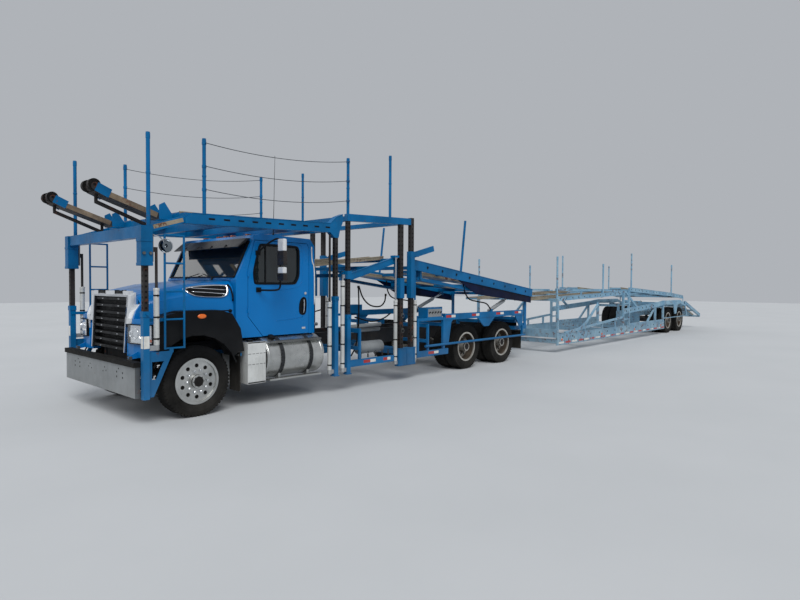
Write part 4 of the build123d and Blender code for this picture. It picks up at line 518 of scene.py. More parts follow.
def put_tyre(shape, centre):
    """A tyre skin with ribs and a rim protector, and small blocks along its shoulders."""
    shape.ring(centre, tread_profile(), steps=72)
    for angle in angles(60, 0.5):
        outward = Vector((math.cos(angle), 0, math.sin(angle)))
        around = Vector((-math.sin(angle), 0, math.cos(angle)))
        for edge in (-0.108, 0.108):
            base = centre + outward * (TYRE_RADIUS - 0.0145) + Vector((0, edge, 0))
            made = shape.row([base + around * a + outward * b + Vector((0, c, 0))
                              for a in (-0.013, 0.013) for b in (-0.012, 0.0125) for c in (-0.011, 0.009)])
            for face in BLOCK_FACES:
                shape.mesh.faces.new([made[index] for index in face])


def put_wheel(wheel, side_name, distance):
    """One wheel's or twin set's pieces."""
    side = SIDES[side_name]
    body = f"{wheel}_{side_name}"
    front = wheel == "front_wheel"
    out = Vector((0, side, 0))
    axle = at(distance, 0, TYRE_RADIUS)
    shape = Shape(side)
    for inward in (0,) if front else (0, TWIN_SPACING):
        put_tyre(shape, axle + out * (TYRE_FACE - inward - TYRE_WIDTH / 2))
    node = "front_tyre" if front else wheel.replace("_wheels", "_tyres")
    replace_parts(shape.make(f"{body}_treads", body, "tyre"), f"{node}_{side_name}")
    centre = axle + out * (TYRE_FACE - (0.034 if front else 0.165))
    shape = Shape(side)
    for base in circle(centre, 0.1425, 10):
        shape.plug(base, NUT_HEIGHT, NUT_RADIUS, 6)
        shape.plug(base + out * NUT_HEIGHT, 0.006, NUT_RADIUS * 0.8, 6, NUT_RADIUS * 0.35)
    shape.make(f"{body}_nuts", body, "chrome" if front else "worn_steel")
    # The rim's hand holes are dark discs: painted shade inside each hole
    shape = Shape(side)
    for base in circle(centre, 0.205, 10, 0.5):
        shape.plug(base - out * 0.020, 0.008, 0.0268, 20)
    shape.make(f"{body}_hole_plugs", body, "black_plastic", "black_and_hole_shade")
    if not front:
        shape = Shape(side)
        shape.ring(centre, [(0.0885, -0.001), (0.0885, 0.001), (0.176, 0.001), (0.176, -0.001)], steps=72)
        shape.ring(centre, [(0.234, -0.001), (0.236, 0.002), (0.268, 0.003), (0.2705, 0.012), (0.2712, 0.128),
                            (0.2722, 0.128), (0.2722, -0.001)], steps=72)
        shape.make(f"{body}_rim_well", body, "rusty_steel", "rim_well")
    shape = Shape(side)
    cap = 0.056 if front else 0.159
    cap_profile = [(0.012, cap + 0.006), (0.055, cap + 0.004), (0.078, cap - 0.004), (0.086, cap - 0.012),
                   (0.0905, cap - 0.014), (0.0905, cap - 0.024), (0.088, cap - 0.026), (0.088, cap - 0.03),
                   (0.012, cap - 0.03)]
    shape.ring(centre, cap_profile, steps=40)
    for base in circle(centre, 0.073, 8):
        shape.plug(base + out * (cap - 0.006), 0.008, 0.0065, 6)
    shape.plug(centre + out * (cap - 0.01), 0.019, 0.03, 20, 0.024)
    shape.make(f"{body}_hub_cap", body, "worn_steel", "engine_iron" if front else "rusty_steel")


for wheel, distance in AXLES.items():
    for side_name in SIDES:
        put_wheel(wheel, side_name, distance)

# The hood's front: bars, mesh, surround and lamps
GRILLE_LOW = 0.85
GRILLE_HIGH = 1.56
HOOD_FACE = -0.56


def grille_face(height):
    """The distance of the bars' front at a height."""
    return HOOD_FACE - 0.092 + 0.036 * (height - GRILLE_LOW) / (GRILLE_HIGH - GRILLE_LOW)


shape = Shape()
for number in range(8):
    height = GRILLE_LOW + 0.03 + number * (GRILLE_HIGH - GRILLE_LOW - 0.06) / 7
    face = grille_face(height)
    for across in (-0.27, 0.27):
        shape.box(face - 0.009, face - 0.002, across - 0.022, across + 0.022, height - 0.004, height + 0.004,
                  0.002)
shape.make("grille_studs", "hood", "chrome")
shape = Shape()
WIRE = 0.0022
for across in [-0.518 + number * 0.037 for number in range(29)]:
    behind = HOOD_FACE - 0.034
    shape.bar((behind, across, GRILLE_LOW + 0.01), (behind, across, GRILLE_HIGH - 0.01), WIRE, 5)
for height in [GRILLE_LOW + 0.02 + number * 0.037 for number in range(19)]:
    shape.bar((HOOD_FACE - 0.036, -0.52, height), (HOOD_FACE - 0.036, 0.52, height), WIRE, 5)
shape.make("grille_mesh", "hood", "black_plastic")

shape = Shape()
for side in shape.sides():
    shape.beams([(grille_face(z) - 0.012, y, z) for y, z in ((0.548, 0.846), (0.549, 1.30), (0.552, 1.575))],
                0.022, 0.02, 0.01)
shape.beam((HOOD_FACE - 0.07, -0.556, 1.577), (HOOD_FACE - 0.07, 0.556, 1.577), 0.02, 0.022)
shape.make("grille_rim", "hood", "chrome")
shape = Shape()
for side in shape.sides():
    shape.box(HOOD_FACE - 0.02, HOOD_FACE - 0.069, 0.17, 0.40, 1.601, 1.6425, 0.006)
shape.make("surround_slots", "hood", "black_plastic")

# The surround's flanks, pale plates beside the grille: each row a height, a distance and an outer edge
FLANK_ROWS = [(1.10, -0.655, 0.672), (1.165, -0.655, 0.70), (1.22, -0.655, 0.742), (1.29, -0.655, 0.765),
              (1.39, -0.62, 0.772), (1.465, -0.562, 0.768), (1.492, -0.47, 0.745)]
shape = Shape()
for side in shape.sides():
    shape.skin([[(distance + out, across, height) for across, out in
                 ((0.655, 0.004), (0.655, -0.010), (outer - 0.012, -0.010), (outer, -0.002), (outer, 0.004))]
                for height, distance, outer in FLANK_ROWS])
shape.make("surround_flanks", "hood", "chrome", "surround_silver")

# Headlamps follow the corner of the fender
NOSE_PLAN = [(-0.545, 1.125), (-0.625, 1.01), (-0.655, 0.80), (-0.655, 0.70)]
LAMP_LOW = 0.985
LAMP_HIGH = 1.215
LAMP_STEPS = 18
LAMP_ROWS = 6


def nose_point(side, share, height, proud):
    """A point on the fender's front corner, from its outer end at share 0 to the grille at share 1."""
    lengths = [math.dist(a, b) for a, b in zip(NOSE_PLAN, NOSE_PLAN[1:])]
    run = share * sum(lengths)
    for a, b, length in zip(NOSE_PLAN, NOSE_PLAN[1:], lengths):
        if run <= length + 1e-9:
            break
        run -= length
    distance = a[0] + (b[0] - a[0]) * run / length
    across = a[1] + (b[1] - a[1]) * run / length
    normal = Vector((b[1] - a[1], -(b[0] - a[0]))).normalized()
    if normal.x > 0:
        normal = -normal
    return at(distance + normal.x * proud, side * (across + abs(normal.y) * proud), height)


def lamp_skin(shape, low, high, proud, start=0.03, end=0.97, crown=0.006):
    """Adds a curved skin that follows the corner, slightly domed."""
    grid = []
    for up in [row / LAMP_ROWS for row in range(LAMP_ROWS + 1)]:
        line = []
        for step in range(LAMP_STEPS + 1):
            along = step / LAMP_STEPS
            dome = crown * math.sin(math.pi * up) * math.sin(math.pi * along) ** 0.5 if 0 < along < 1 else 0
            height = low + (high - low) * up
            line.append(nose_point(shape.side, start + (end - start) * along, height, proud + dome))
        grid.append(line)
    shape.skin(grid)


for side_name, side in SIDES.items():
    shape = Shape(side)
    lamp_skin(shape, LAMP_LOW + 0.008, LAMP_HIGH - 0.008, 0.0155)
    shape.make(f"lamp_reflector_{side_name}", "hood", "chrome", smooth=True)
    shape = Shape(side)
    for share, height, radius in ((0.3, 1.105, 0.07), (0.62, 1.105, 0.07), (0.85, 1.1, 0.04)):
        centre = nose_point(side, share, height, 0.018)
        outward = nose_point(side, share, height, 0.03) - centre
        bowl = [(radius, 0.0), (radius * 0.92, 0.012), (radius * 0.8, 0.002), (radius * 0.45, -0.008),
                (0.004, -0.01), (0.004, -0.014), (radius * 0.9, -0.014)]
        shape.ring(centre, bowl, outward, 32)
    shape.make(f"lamp_bowls_{side_name}", "hood", "chrome", smooth=True)
    shape = Shape(side)
    lamp_skin(shape, LAMP_LOW, LAMP_HIGH, 0.033, 0.0, 1.0, 0.012)
    shape.make(f"lamp_lens_{side_name}", "hood", "glass", "lamp_glass", smooth=True)
    shape = Shape(side)
    for height in (LAMP_LOW - 0.004, LAMP_HIGH + 0.004):
        shape.beams([nose_point(side, step / LAMP_STEPS, height, 0.016) for step in range(LAMP_STEPS + 1)],
                    0.036, 0.011, 0.004)
    for share in (0.0, 1.0):
        ends = [nose_point(side, share, height, 0.016) for height in (LAMP_LOW - 0.006, LAMP_HIGH + 0.006)]
        shape.beam(*ends, 0.014, 0.036)
    shape.make(f"lamp_bezel_{side_name}", "hood", "black_plastic")
    shape = Shape(side)
    lamp_skin(shape, LAMP_LOW + 0.02, LAMP_LOW + 0.055, 0.03, 0.02, 0.2)
    shape.make(f"lamp_amber_{side_name}", "hood", "glass", "orange_lamp", smooth=True)

# The hood's stations: distance, shoulder's half width and height, crown's half width and height
HOOD_STATIONS = [(0.66, 0.968, 1.64, 0.75, 1.785), (0.0, 0.938, 1.58, 0.67, 1.722),
                 (-0.4, 0.872, 1.50, 0.59, 1.638), (-0.56, 0.805, 1.445, 0.545, 1.578)]
SHOULDER_BULGE = 0.034
FLAT_LOW = 0.88
FLAT_SPREAD = 0.06


def station_at(distance):
    """The hood's shoulder and crown, worked out between two stations."""
    for first, second in zip(HOOD_STATIONS, HOOD_STATIONS[1:]):
        if second[0] <= distance <= first[0]:
            share = (distance - first[0]) / (second[0] - first[0])
            return [a + (b - a) * share for a, b in zip(first[1:], second[1:])]
    raise ValueError(distance)


def arc_through(a, b, c):
    """The circle through three points: gives a function from 0 at a to 1 at c."""
    ax, ay, bx, by, cx, cy = *a, *b, *c
    d = 2 * (ax * (by - cy) + bx * (cy - ay) + cx * (ay - by))
    squares = [(p * p + q * q) for p, q in (a, b, c)]
    ux = (squares[0] * (by - cy) + squares[1] * (cy - ay) + squares[2] * (ay - by)) / d
    uy = (squares[0] * (cx - bx) + squares[1] * (ax - cx) + squares[2] * (bx - ax)) / d
    start = math.atan2(ay - uy, ax - ux)
    sweep = math.atan2(cy - uy, cx - ux) - start
    radius = math.hypot(ax - ux, ay - uy)
    return lambda t: Vector((ux + radius * math.cos(start + sweep * t),
                             uy + radius * math.sin(start + sweep * t)))


def hood_side_point(side, distance, height, proud=0.0):
    """A point on the hood's side at a height: flat below the shoulder's edge, round above it."""
    shoulder, middle, crown, top = station_at(distance)
    if height <= middle:
        return at(distance, side * (shoulder + FLAT_SPREAD * (middle - height) / (middle - FLAT_LOW) + proud),
                  height)
    corner = ((shoulder + crown) / 2 + SHOULDER_BULGE, (middle + top) / 2 + SHOULDER_BULGE)
    arc = arc_through((shoulder, middle), corner, (crown, top))
    low, high = 0.0, 1.0
    for _ in range(24):
        t = (low + high) / 2
        if arc(t).y < height:
            low = t
        else:
            high = t
    ahead = arc(min(t + 0.01, 1.0)) - arc(t - 0.01)
    normal = Vector((ahead.y, -ahead.x)).normalized()
    return at(distance, side * (arc(t).x + normal.x * proud), arc(t).y + normal.y * proud)


# Side vents on the hood: a chrome leaf with dark slats, laid on the sloping shoulder
VENT_OUTLINE = [(0.60, 1.715), (0.45, 1.718), (0.30, 1.712), (0.15, 1.70), (0.03, 1.683), (-0.03, 1.665),
                (-0.035, 1.645), (0.0, 1.61), (0.07, 1.578), (0.2, 1.56), (0.36, 1.553), (0.5, 1.556),
                (0.575, 1.60)]
VENT_MIDDLE = Vector((0.3, 1.635, 0))


def vent_outline(side, shrink, proud):
    """The leaf's closed outline on the hood's side, shrunk towards its middle."""
    points = [Vector((distance, height, 0)) for distance, height in VENT_OUTLINE + VENT_OUTLINE[:1]]
    shrunk = [VENT_MIDDLE + (point - VENT_MIDDLE) * shrink for point in smooth_path(points, 4)[:-1]]
    return [hood_side_point(side, point.x, point.y, proud) for point in shrunk]


for side_name, side in SIDES.items():
    shape = Shape(side)
    shape.skin([vent_outline(side, shrink, proud) for shrink, proud in
                ((1.0, -0.004), (1.0, 0.012), (0.96, 0.018), (0.90, 0.014), (0.88, 0.002), (0.88, -0.004))],
                True, True)
    for height in (1.6015, 1.65):
        shape.tube([hood_side_point(side, 0.54 - 0.04 * step, height + 0.002 * step, 0.01)
                    for step in range(13)], 0.007)
    shape.make(f"vent_rim_{side_name}", "hood", "chrome", smooth=True)
    shape = Shape(side)
    outer, inner = shape.skin([vent_outline(side, shrink, 0.0035) for shrink in (0.89, 0.45)], True)
    core = shape.mesh.verts.new(hood_side_point(side, 0.3, 1.635, 0.0035))
    for first, second in zip(inner, inner[1:] + inner[:1]):
        shape.mesh.faces.new((first, second, core))
    for distance in [0.12 + 0.06 * step for step in range(7)]:
        shape.beam(hood_side_point(side, distance, 1.58, 0.005),
                   hood_side_point(side, distance + 0.02, 1.69, 0.005), 0.006, 0.01)
    shape.make(f"vent_slats_{side_name}", "hood", "black_plastic")

# The cab's outside: windscreen, wipers, visor, windows, handles and mirrors
CAB_SIDE = 1.02
SCREEN_LOW = (1.80, 0.67)
SCREEN_HIGH = (2.45, 0.98)


def screen_distance(height):
    """The distance of the windscreen's plane at a height."""
    (low, front), (high, rear) = SCREEN_LOW, SCREEN_HIGH
    return front + (rear - front) * (height - low) / (high - low)


def screen_point(height, across, proud):
    """A point on the windscreen's plane, proud of it along its normal."""
    normal = Vector((SCREEN_HIGH[0] - SCREEN_LOW[0], 0, SCREEN_HIGH[1] - SCREEN_LOW[1])).normalized()
    return at(screen_distance(height), across, height) + normal * proud


shape = Shape()
corners = [screen_point(height, across, 0.004) for height, across in
           ((1.838, -0.955), (1.838, 0.955), (2.352, 0.955), (2.352, -0.955), (1.838, -0.955))]
shape.beams(corners, 0.034, 0.016, 0.02)
for side in SIDES.values():
    shape.bar(screen_point(1.815, side * 0.42, 0.02), screen_point(1.885, side * 0.05, 0.014), 0.006, 6)
    shape.bar(screen_point(1.80, side * 0.40, 0.0), screen_point(1.80, side * 0.40, 0.03), 0.02)
shape.make("screen_seal", "truck", "black_plastic")

# The visor's section: a height and how far it stands from the screen's plane
VISOR = [(2.262, -0.1415), (2.2705, -0.1535), (2.402, -0.0635), (2.402, 0.006)]
VISOR_HALF = 0.948
VISOR_STEPS = 14
shape = Shape()
edge = [(screen_distance(z) + inward - 0.001, z) for z, inward in VISOR]
spots = [-VISOR_HALF + 2 * VISOR_HALF * step / VISOR_STEPS for step in range(VISOR_STEPS + 1)]
for (front_a, z_a), (front_b, z_b) in zip(edge, edge[1:]):
    for y_a, y_b in zip(spots, spots[1:]):
        shape.face([(front_a, y_a, z_a), (front_a, y_b, z_a), (front_b, y_b, z_b), (front_b, y_a, z_b)])
for side in shape.sides():
    shape.face([(distance, VISOR_HALF + 0.0005, z) for distance, z in edge])
for across in (-0.6, -0.2, 0.2, 0.6):
    front = screen_distance(2.27)
    shape.bar((front - 0.15, across, 2.268), (front - 0.12, across, 2.31), 0.012, 8)
shape.make("visor_skin", "truck", "black_plastic", "visor_black")

# Outlines on the door as (distance, height); curves as (distance, y, height), the trim's y from CAB_SIDE
WINDOW_RIM = [(0.985, 1.755), (0.968, 1.86), (0.975, 1.96), (1.03, 2.18), (1.065, 2.29), (1.12, 2.312),
              (1.40, 2.314), (1.70, 2.31), (1.755, 2.28), (1.771, 2.2), (1.771, 2.0), (1.766, 1.88),
              (1.725, 1.79), (1.66, 1.752), (1.35, 1.748), (1.05, 1.748)]
HANDLE_RIM = [(1.80, 1.285), (1.785, 1.33), (1.788, 1.42), (1.815, 1.50), (1.86, 1.532), (1.90, 1.52),
              (1.915, 1.46), (1.912, 1.36), (1.895, 1.29), (1.85, 1.268)]
DOOR_CREASE = [(1.02, 1.655), (1.20, 1.648), (1.5, 1.66), (1.75, 1.70), (1.83, 1.80), (1.84, 2.0),
               (1.838, 2.24), (1.79, 2.345), (1.4, 2.352)]
CORNER_TRIM = [(2.02, 0.004, 2.33), (2.03, 0.006, 2.12), (2.066, 0.006, 2.02), (2.078, 0.006, 1.85),
               (2.08, 0.006, 1.42)]
MIRROR_ARM = [(1.03, CAB_SIDE + 0.012, 1.655), (1.06, 1.10, 1.65), (1.17, 1.255, 1.652), (1.222, 1.29, 1.685),
              (1.23, 1.292, 1.8), (1.23, 1.292, 2.0), (1.23, 1.292, 2.25), (1.228, 1.29, 2.36),
              (1.19, 1.245, 2.392), (1.10, 1.12, 2.30), (1.02, CAB_SIDE + 0.012, 2.19)]
# Each mirror part: its look, slot, finish, bevel and two heights
MIRROR_PARTS = [("chrome", "chrome", "mirror_cap", 0.022, 2.205, 2.39),
                ("dark", "black_plastic", "mirror_dark", 0.0, 2.01, 2.215),
                ("chrome", "chrome", "mirror_cap", 0.022, 1.885, 1.985),
                ("dark", "black_plastic", "mirror_dark", 0.0, 1.79, 1.895)]


def put_door_pieces(side_name, side):
    """One door's window rubber, handle, creases and mirrors, and the trim at the cab's corner behind it."""
    door = f"door_{side_name}"
    shape = Shape(side)
    shape.rim(shape.rim_path(WINDOW_RIM, CAB_SIDE + 0.001, 5), 0.017, 0.008)
    shape.bar((1.17, CAB_SIDE - 0.012, 1.75), (1.17, CAB_SIDE - 0.012, 2.315), 0.011, 8)
    shape.make(f"window_rubber_{side_name}", door, "black_plastic")
    shape = Shape(side)
    turns = [math.pi / 2 * step / 6 for step in range(7)]
    for distance, z, inward, up in ((1.771, 1.748, -0.085, 0.085), (1.771, 2.312, -0.04, -0.04),
                                    (0.967, 1.748, 0.03, 0.03)):
        face = CAB_SIDE - 0.004
        shape.face([(distance, face, z)]
                   + [(distance + inward * (1 - math.sin(turn)), face, z + up * (1 - math.cos(turn)))
                      for turn in turns])
    shape.make(f"window_corners_{side_name}", door, "blue_paint", "body_paint")
    # The door's handle lies in a dark recess, with its lock above
    shape = Shape(side)
    path = shape.rim_path(HANDLE_RIM, CAB_SIDE + 0.0015, 4)
    shape.face(path)
    shape.rim(path, 0.008, 0.006)
    shape.make(f"handle_recess_{side_name}", door, "black_plastic")
    shape = Shape(side)
    shape.curve([(1.862, CAB_SIDE + 0.004, 1.30), (1.858, CAB_SIDE + 0.022, 1.34),
                 (1.862, CAB_SIDE + 0.024, 1.44), (1.872, CAB_SIDE + 0.004, 1.50)], 0.0095, 8, 5)
    shape.plug((1.895, CAB_SIDE, 1.60), 0.012, 0.021, 20)
    shape.plug((1.895, CAB_SIDE + 0.011, 1.60), 0.005, 0.01)
    shape.box(1.83, 1.90, CAB_SIDE, CAB_SIDE + 0.004, 1.045, 1.075, 0.001)
    shape.make(f"handle_grip_{side_name}", door, "chrome")
    # Pressed lines of the door and a trim strip at the cab's rear corner
    shape = Shape(side)
    shape.curve([(distance, CAB_SIDE - 0.001, z) for distance, z in DOOR_CREASE], 0.006, 6)
    shape.curve([(1.35, CAB_SIDE - 0.002, 1.19), (1.6, CAB_SIDE - 0.001, 1.205),
                 (1.85, CAB_SIDE - 0.001, 1.235)], 0.006, 6)
    shape.make(f"door_creases_{side_name}", door, "blue_paint", "body_paint", smooth=True)
    shape = Shape(side)
    shape.curve([(distance, CAB_SIDE + proud, z) for distance, proud, z in CORNER_TRIM], 0.01)
    shape.make(f"corner_trim_{side_name}", "truck", "chrome", "white_tape", smooth=True)
    shape = Shape(side)
    for low, high in ((1.10, 1.40), (1.42, 1.9), (1.92, 2.3)):
        shape.box(1.995, 2.002, CAB_SIDE - 0.004, CAB_SIDE + 0.003, low, high, 0.001)
    shape.make(f"body_crease_{side_name}", "truck", "blue_paint", "body_paint")
    # Mirrors: black tube arms, white caps and dark housings below them
    shape = Shape(side)
    shape.curve(MIRROR_ARM, 0.0135, 10)
    for distance, z in ((1.02, 2.19), (1.03, 1.655)):
        shape.box(distance - 0.03, distance + 0.05, CAB_SIDE, CAB_SIDE + 0.02, z - 0.035, z + 0.035, 0.006)
    for z in (2.34, 2.06, 1.95, 1.82):
        shape.box(1.214, 1.246, 1.272, 1.315, z - 0.02, z + 0.02, 0.004)
    shape.make(f"mirror_arms_{side_name}", door, "black_plastic", smooth=True)
    for look, slot, finish, bevel, low, high in MIRROR_PARTS:
        shape = Shape(side)
        shape.box(1.172, 1.238, 1.30, 1.444, low, high, bevel)
        shape.make(f"mirror_{look}_{side_name}_{int(low * 1000)}", door, slot, finish)
    shape = Shape(side)
    for low, high in ((2.025, 2.375), (1.803, 1.972)):
        shape.box(1.2385, 1.2405, 1.312, 1.432, low, high)
    glass = shape.make(f"mirror_glass_{side_name}", door, "chrome", "mirror_glass")
    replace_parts(glass, f"mirror_{side_name}")


for side_name, side in SIDES.items():
    put_door_pieces(side_name, side)

# Roof marker lamps, the marker on each flare and the hood's latches
shape = Shape()
for across in (-0.62, -0.2, 0.0, 0.2, 0.62):
    shape.box(1.095, 1.165, across - 0.035, across + 0.035, 2.468, 2.492, 0.008)
shape.make("roof_lamps", "truck", None, "orange_lamp")
for side_name, side in SIDES.items():
    shape = Shape(side)
    rows = shape.skin([[at(0.07, side * (1.178 + out), 1.31)
                        + scale * Vector((0.062 * math.cos(angle), 0,
                                          0.031 * math.sin(angle))) for angle in angles(28)]
                       for scale, out in ((1.0, 0.0), (0.98, 0.006), (0.8, 0.011), (0.4, 0.013))],
                       ends_meet=True)
    shape.mesh.faces.new(rows[-1])
    shape.make(f"flare_marker_{side_name}", "hood", None, "orange_lamp", smooth=True)
    shape = Shape(side)
    shape.curve([hood_side_point(side, distance, height, proud) for distance, height, proud in
                 ((0.60, 1.72, 0.012), (0.612, 1.66, 0.03), (0.632, 1.56, 0.032), (0.64, 1.50, 0.012))],
                 0.011, 8, 5)
    shape.bar(hood_side_point(side, 0.60, 1.36, -0.004), hood_side_point(side, 0.60, 1.36, 0.012), 0.024, 16)
    shape.make(f"hood_latch_{side_name}", "hood", "black_plastic", smooth=True)

# Lips on the flares: a straight one above and one round each front wheel
ARCH_RADIUS = 0.612
shape = Shape()
for side in shape.sides():
    shape.box(-0.38, 0.52, 1.172, 1.1795, 1.365, 1.383, 0.003)
    turns = [math.radians(22 + 15.5 * step) for step in range(10)]
    shape.beams([(-ARCH_RADIUS * math.cos(turn), 1.174,
                  TYRE_RADIUS + ARCH_RADIUS * math.sin(turn)) for turn in turns], 0.010, 0.02, 0.006)
shape.make("flare_lips", "hood", "black_plastic")

# The hood's middle line and the strip below the windscreen
shape = Shape()
crown = []
for distance in [0.65 - 0.0605 * step for step in range(21)]:
    _, _, half, top = station_at(max(distance, -0.5599))
    crown.append([(distance, across, top + 0.02 * (1 - (across / half) ** 2) + 0.003)
                  for across in (-0.012, 0.012)])
for first, second in zip(crown, crown[1:]):
    shape.face([first[0], first[1], second[1], second[0]])
shape.box(0.655, 0.685, -0.9, 0.9, 1.796, 1.812, 0.004)
shape.make("hood_line", "hood", "blue_paint", "body_paint")

# Posts and masts: rows of holes, pins, cylinder bands, sleeves' edges and reflective tape
MAST_Y = 1.236
HALF_BAR = 0.0312
HALF_POST = 0.038
# Each upright cylinder's barrel: its distance and its two ends' heights
BARRELS = [(-0.56, 0.92, 1.67), (2.215, 0.32, 1.45), (2.49, 0.32, 1.79), (3.755, 0.32, 1.45),
           (4.285, 0.32, 1.45)]
# Each tape patch: its distance, the face that it is on, its height and the length of its red half
TAPE = [(5.24, 1.235, 1.095, 0.17), (6.12, 1.235, 1.095, 0.15), (7.05, 1.235, 1.095, 0.17),
        (7.83, 1.235, 1.095, 0.16), (2.96, 1.245, 0.42, 0.16), (3.44, 1.245, 0.42, 0.1),
        (4.68, 1.245, 0.42, 0.17)]
BAND_PROFILE = [(0.0336, -0.010), (0.0352, -0.008), (0.0352, 0.008), (0.0336, 0.010), (0.0325, 0.010),
                (0.0325, -0.010)]


def put_hole_row(shape, distance, low, high, spacing, half, radius):
    """Round holes up the outer and front faces of a mast, as thin dark plugs of painted shade."""
    for number in range(int((high - low) / spacing) + 1):
        height = low + number * spacing
        shape.plug((distance, MAST_Y + half - 0.002, height), 0.0032, radius, 10)
        shape.bar((distance - half + 0.002, MAST_Y, height), (distance - half - 0.0012, MAST_Y, height),
                  radius, 10)


def put_post_pieces(side_name, side):
    """One side's masts, posts and cylinders."""
    shape = Shape(side)
    put_hole_row(shape, -0.70, 1.44, 1.93, 0.065, HALF_BAR, 0.014)
    put_hole_row(shape, 2.33, 1.60, 2.44, 0.065, HALF_BAR, 0.014)
    shape.make(f"head_mast_holes_{side_name}", "head_deck", "rusty_steel", "black_and_hole_shade")
    shape = Shape(side)
    put_hole_row(shape, 2.60, 1.30, 2.74, 0.065, HALF_BAR, 0.014)
    put_hole_row(shape, 3.88, 0.68, 2.78, 0.08, HALF_POST, 0.015)
    put_hole_row(shape, 4.165, 0.68, 2.90, 0.08, HALF_POST, 0.015)
    shape.make(f"fixed_mast_holes_{side_name}", "truck", "rusty_steel", "black_and_hole_shade")

    # Pale cylinder skins with dark bands
    shape = Shape(side)
    for distance, low, high in BARRELS:
        centre = (distance, MAST_Y, 0)
        shape.ring(centre, [(0.0318, low + 0.062), (0.0335, low + 0.066), (0.0335, high - 0.03),
                            (0.0318, high - 0.026), (0.030, high - 0.026), (0.030, low + 0.062)], UP, 24)
        shape.ring(centre, [(0.0345, high - 0.024), (0.0365, high - 0.02), (0.0365, high + 0.006),
                            (0.0345, high + 0.012), (0.0185, high + 0.012), (0.0185, high - 0.024)], UP, 24)
    shape.make(f"barrel_skins_{side_name}", "truck", "cylinder_grey", "cylinder_white")
    shape = Shape(side)
    for distance, low, high in BARRELS:
        steps = int((high - low - 0.15) / 0.28)
        for number in range(steps + 1):
            height = low + 0.14 + number * (high - low - 0.22) / max(steps, 1)
            shape.ring((distance, MAST_Y, height), BAND_PROFILE, UP, 20)
            shape.box(distance - 0.006, distance + 0.006, MAST_Y + 0.034, MAST_Y + 0.042,
                      height - 0.012, height + 0.012)
    shape.make(f"barrel_bands_{side_name}", "truck", "black_plastic", "black_and_hole_shade")

    # Welded collars at the tube tops, foot plates and ribs on the mast box, and stop pins with rings
    shape = Shape(side)
    for distance, top in ((-0.70, 1.40), (2.33, 1.55), (2.60, 1.25)):
        for front, rear, inner, outer in ((-0.044, 0.044, 0.037, 0.045), (-0.044, 0.044, -0.045, -0.037),
                                          (-0.045, -0.037, -0.038, 0.038), (0.037, 0.045, -0.038, 0.038)):
            shape.box(distance + front, distance + rear, MAST_Y + inner, MAST_Y + outer, top - 0.07,
                      top - 0.002, 0.002)
        shape.plug((distance, MAST_Y + 0.040, top - 0.035), 0.026, 0.013)
    for distance in (2.33, 2.60):
        shape.box(distance - 0.052, distance + 0.052, MAST_Y - 0.052, MAST_Y + 0.052, 0.272, 0.286, 0.003)
    for low, high in ((0.585, 0.60), (0.29, 0.305)):
        shape.box(3.79, 4.26, MAST_Y + 0.042, MAST_Y + 0.050, low, high, 0.002)
    for distance in (3.83, 4.02, 4.215):
        shape.box(distance - 0.006, distance + 0.006, MAST_Y + 0.043, MAST_Y + 0.052, 0.30, 0.59, 0.002)
    shape.make(f"post_collars_{side_name}", "truck", "blue_paint")
    shape = Shape(side)
    for distance, height in ((3.88, 1.22), (4.165, 0.80), (3.88, 0.95)):
        shape.plug((distance, MAST_Y + 0.034, height), 0.041, 0.014)
        shape.eyelet((distance, MAST_Y + 0.068, height - 0.035), 0.035, 0.004, 16)
    shape.make(f"mast_pins_{side_name}", "truck", "chrome", "worn_steel")

    # The sleeves that ride on the masts: raised edges and pins
    shape = Shape(side)
    for low, high in ((1.952, 1.985), (2.24, 2.27)):
        for inner in (0.064, -0.070):
            shape.box(-0.772, -0.628, MAST_Y + inner, MAST_Y + inner + 0.006, low, high, 0.002)
        shape.box(-0.776, -0.770, MAST_Y - 0.066, MAST_Y + 0.066, low, high, 0.002)
    shape.make(f"sleeve_edges_{side_name}", "head_deck", "blue_paint")
    shape = Shape(side)
    for distance in (-0.66, -0.74):
        shape.plug((distance, MAST_Y + 0.064, 2.10), 0.021, 0.018)
    shape.box(-0.62, -0.60, MAST_Y - 0.05, MAST_Y + 0.02, 2.0, 2.34, 0.004)
    shape.make(f"sleeve_pins_{side_name}", "head_deck", "worn_steel")

    # Reflective tape on the sill, the low rails and the front post
    reds, whites = Shape(side), Shape(side)
    for distance, face, height, length in TAPE:
        reds.box(distance, distance + length, face, face + 0.0015, height, height + 0.05)
        whites.box(distance + length, distance + 1.8 * length, face, face + 0.0015, height, height + 0.05)
    whites.box(-0.735, -0.665, MAST_Y + 0.038, MAST_Y + 0.0395, 0.95, 1.10)
    whites.box(-0.7395, -0.738, MAST_Y - 0.03, MAST_Y + 0.03, 0.95, 1.10)
    reds.make(f"tape_red_{side_name}", "truck", None, "red_tape")
    whites.make(f"tape_white_{side_name}", "truck", None, "white_tape")

    # Chain rings low on the side frames, as seen between the posts
    shape = Shape(side)
    for distance in (2.95, 3.12, 3.30, 3.47, 3.62):
        shape.bar((distance, MAST_Y - 0.05, 0.50), (distance, MAST_Y - 0.05, 0.56), 0.012, 8)
        shape.eyelet((distance, MAST_Y - 0.05, 0.575), 0.022, 0.005, 12)
    shape.make(f"rail_rings_{side_name}", "truck", "worn_steel", "rusty_steel")


for side_name, side in SIDES.items():
    put_post_pieces(side_name, side)

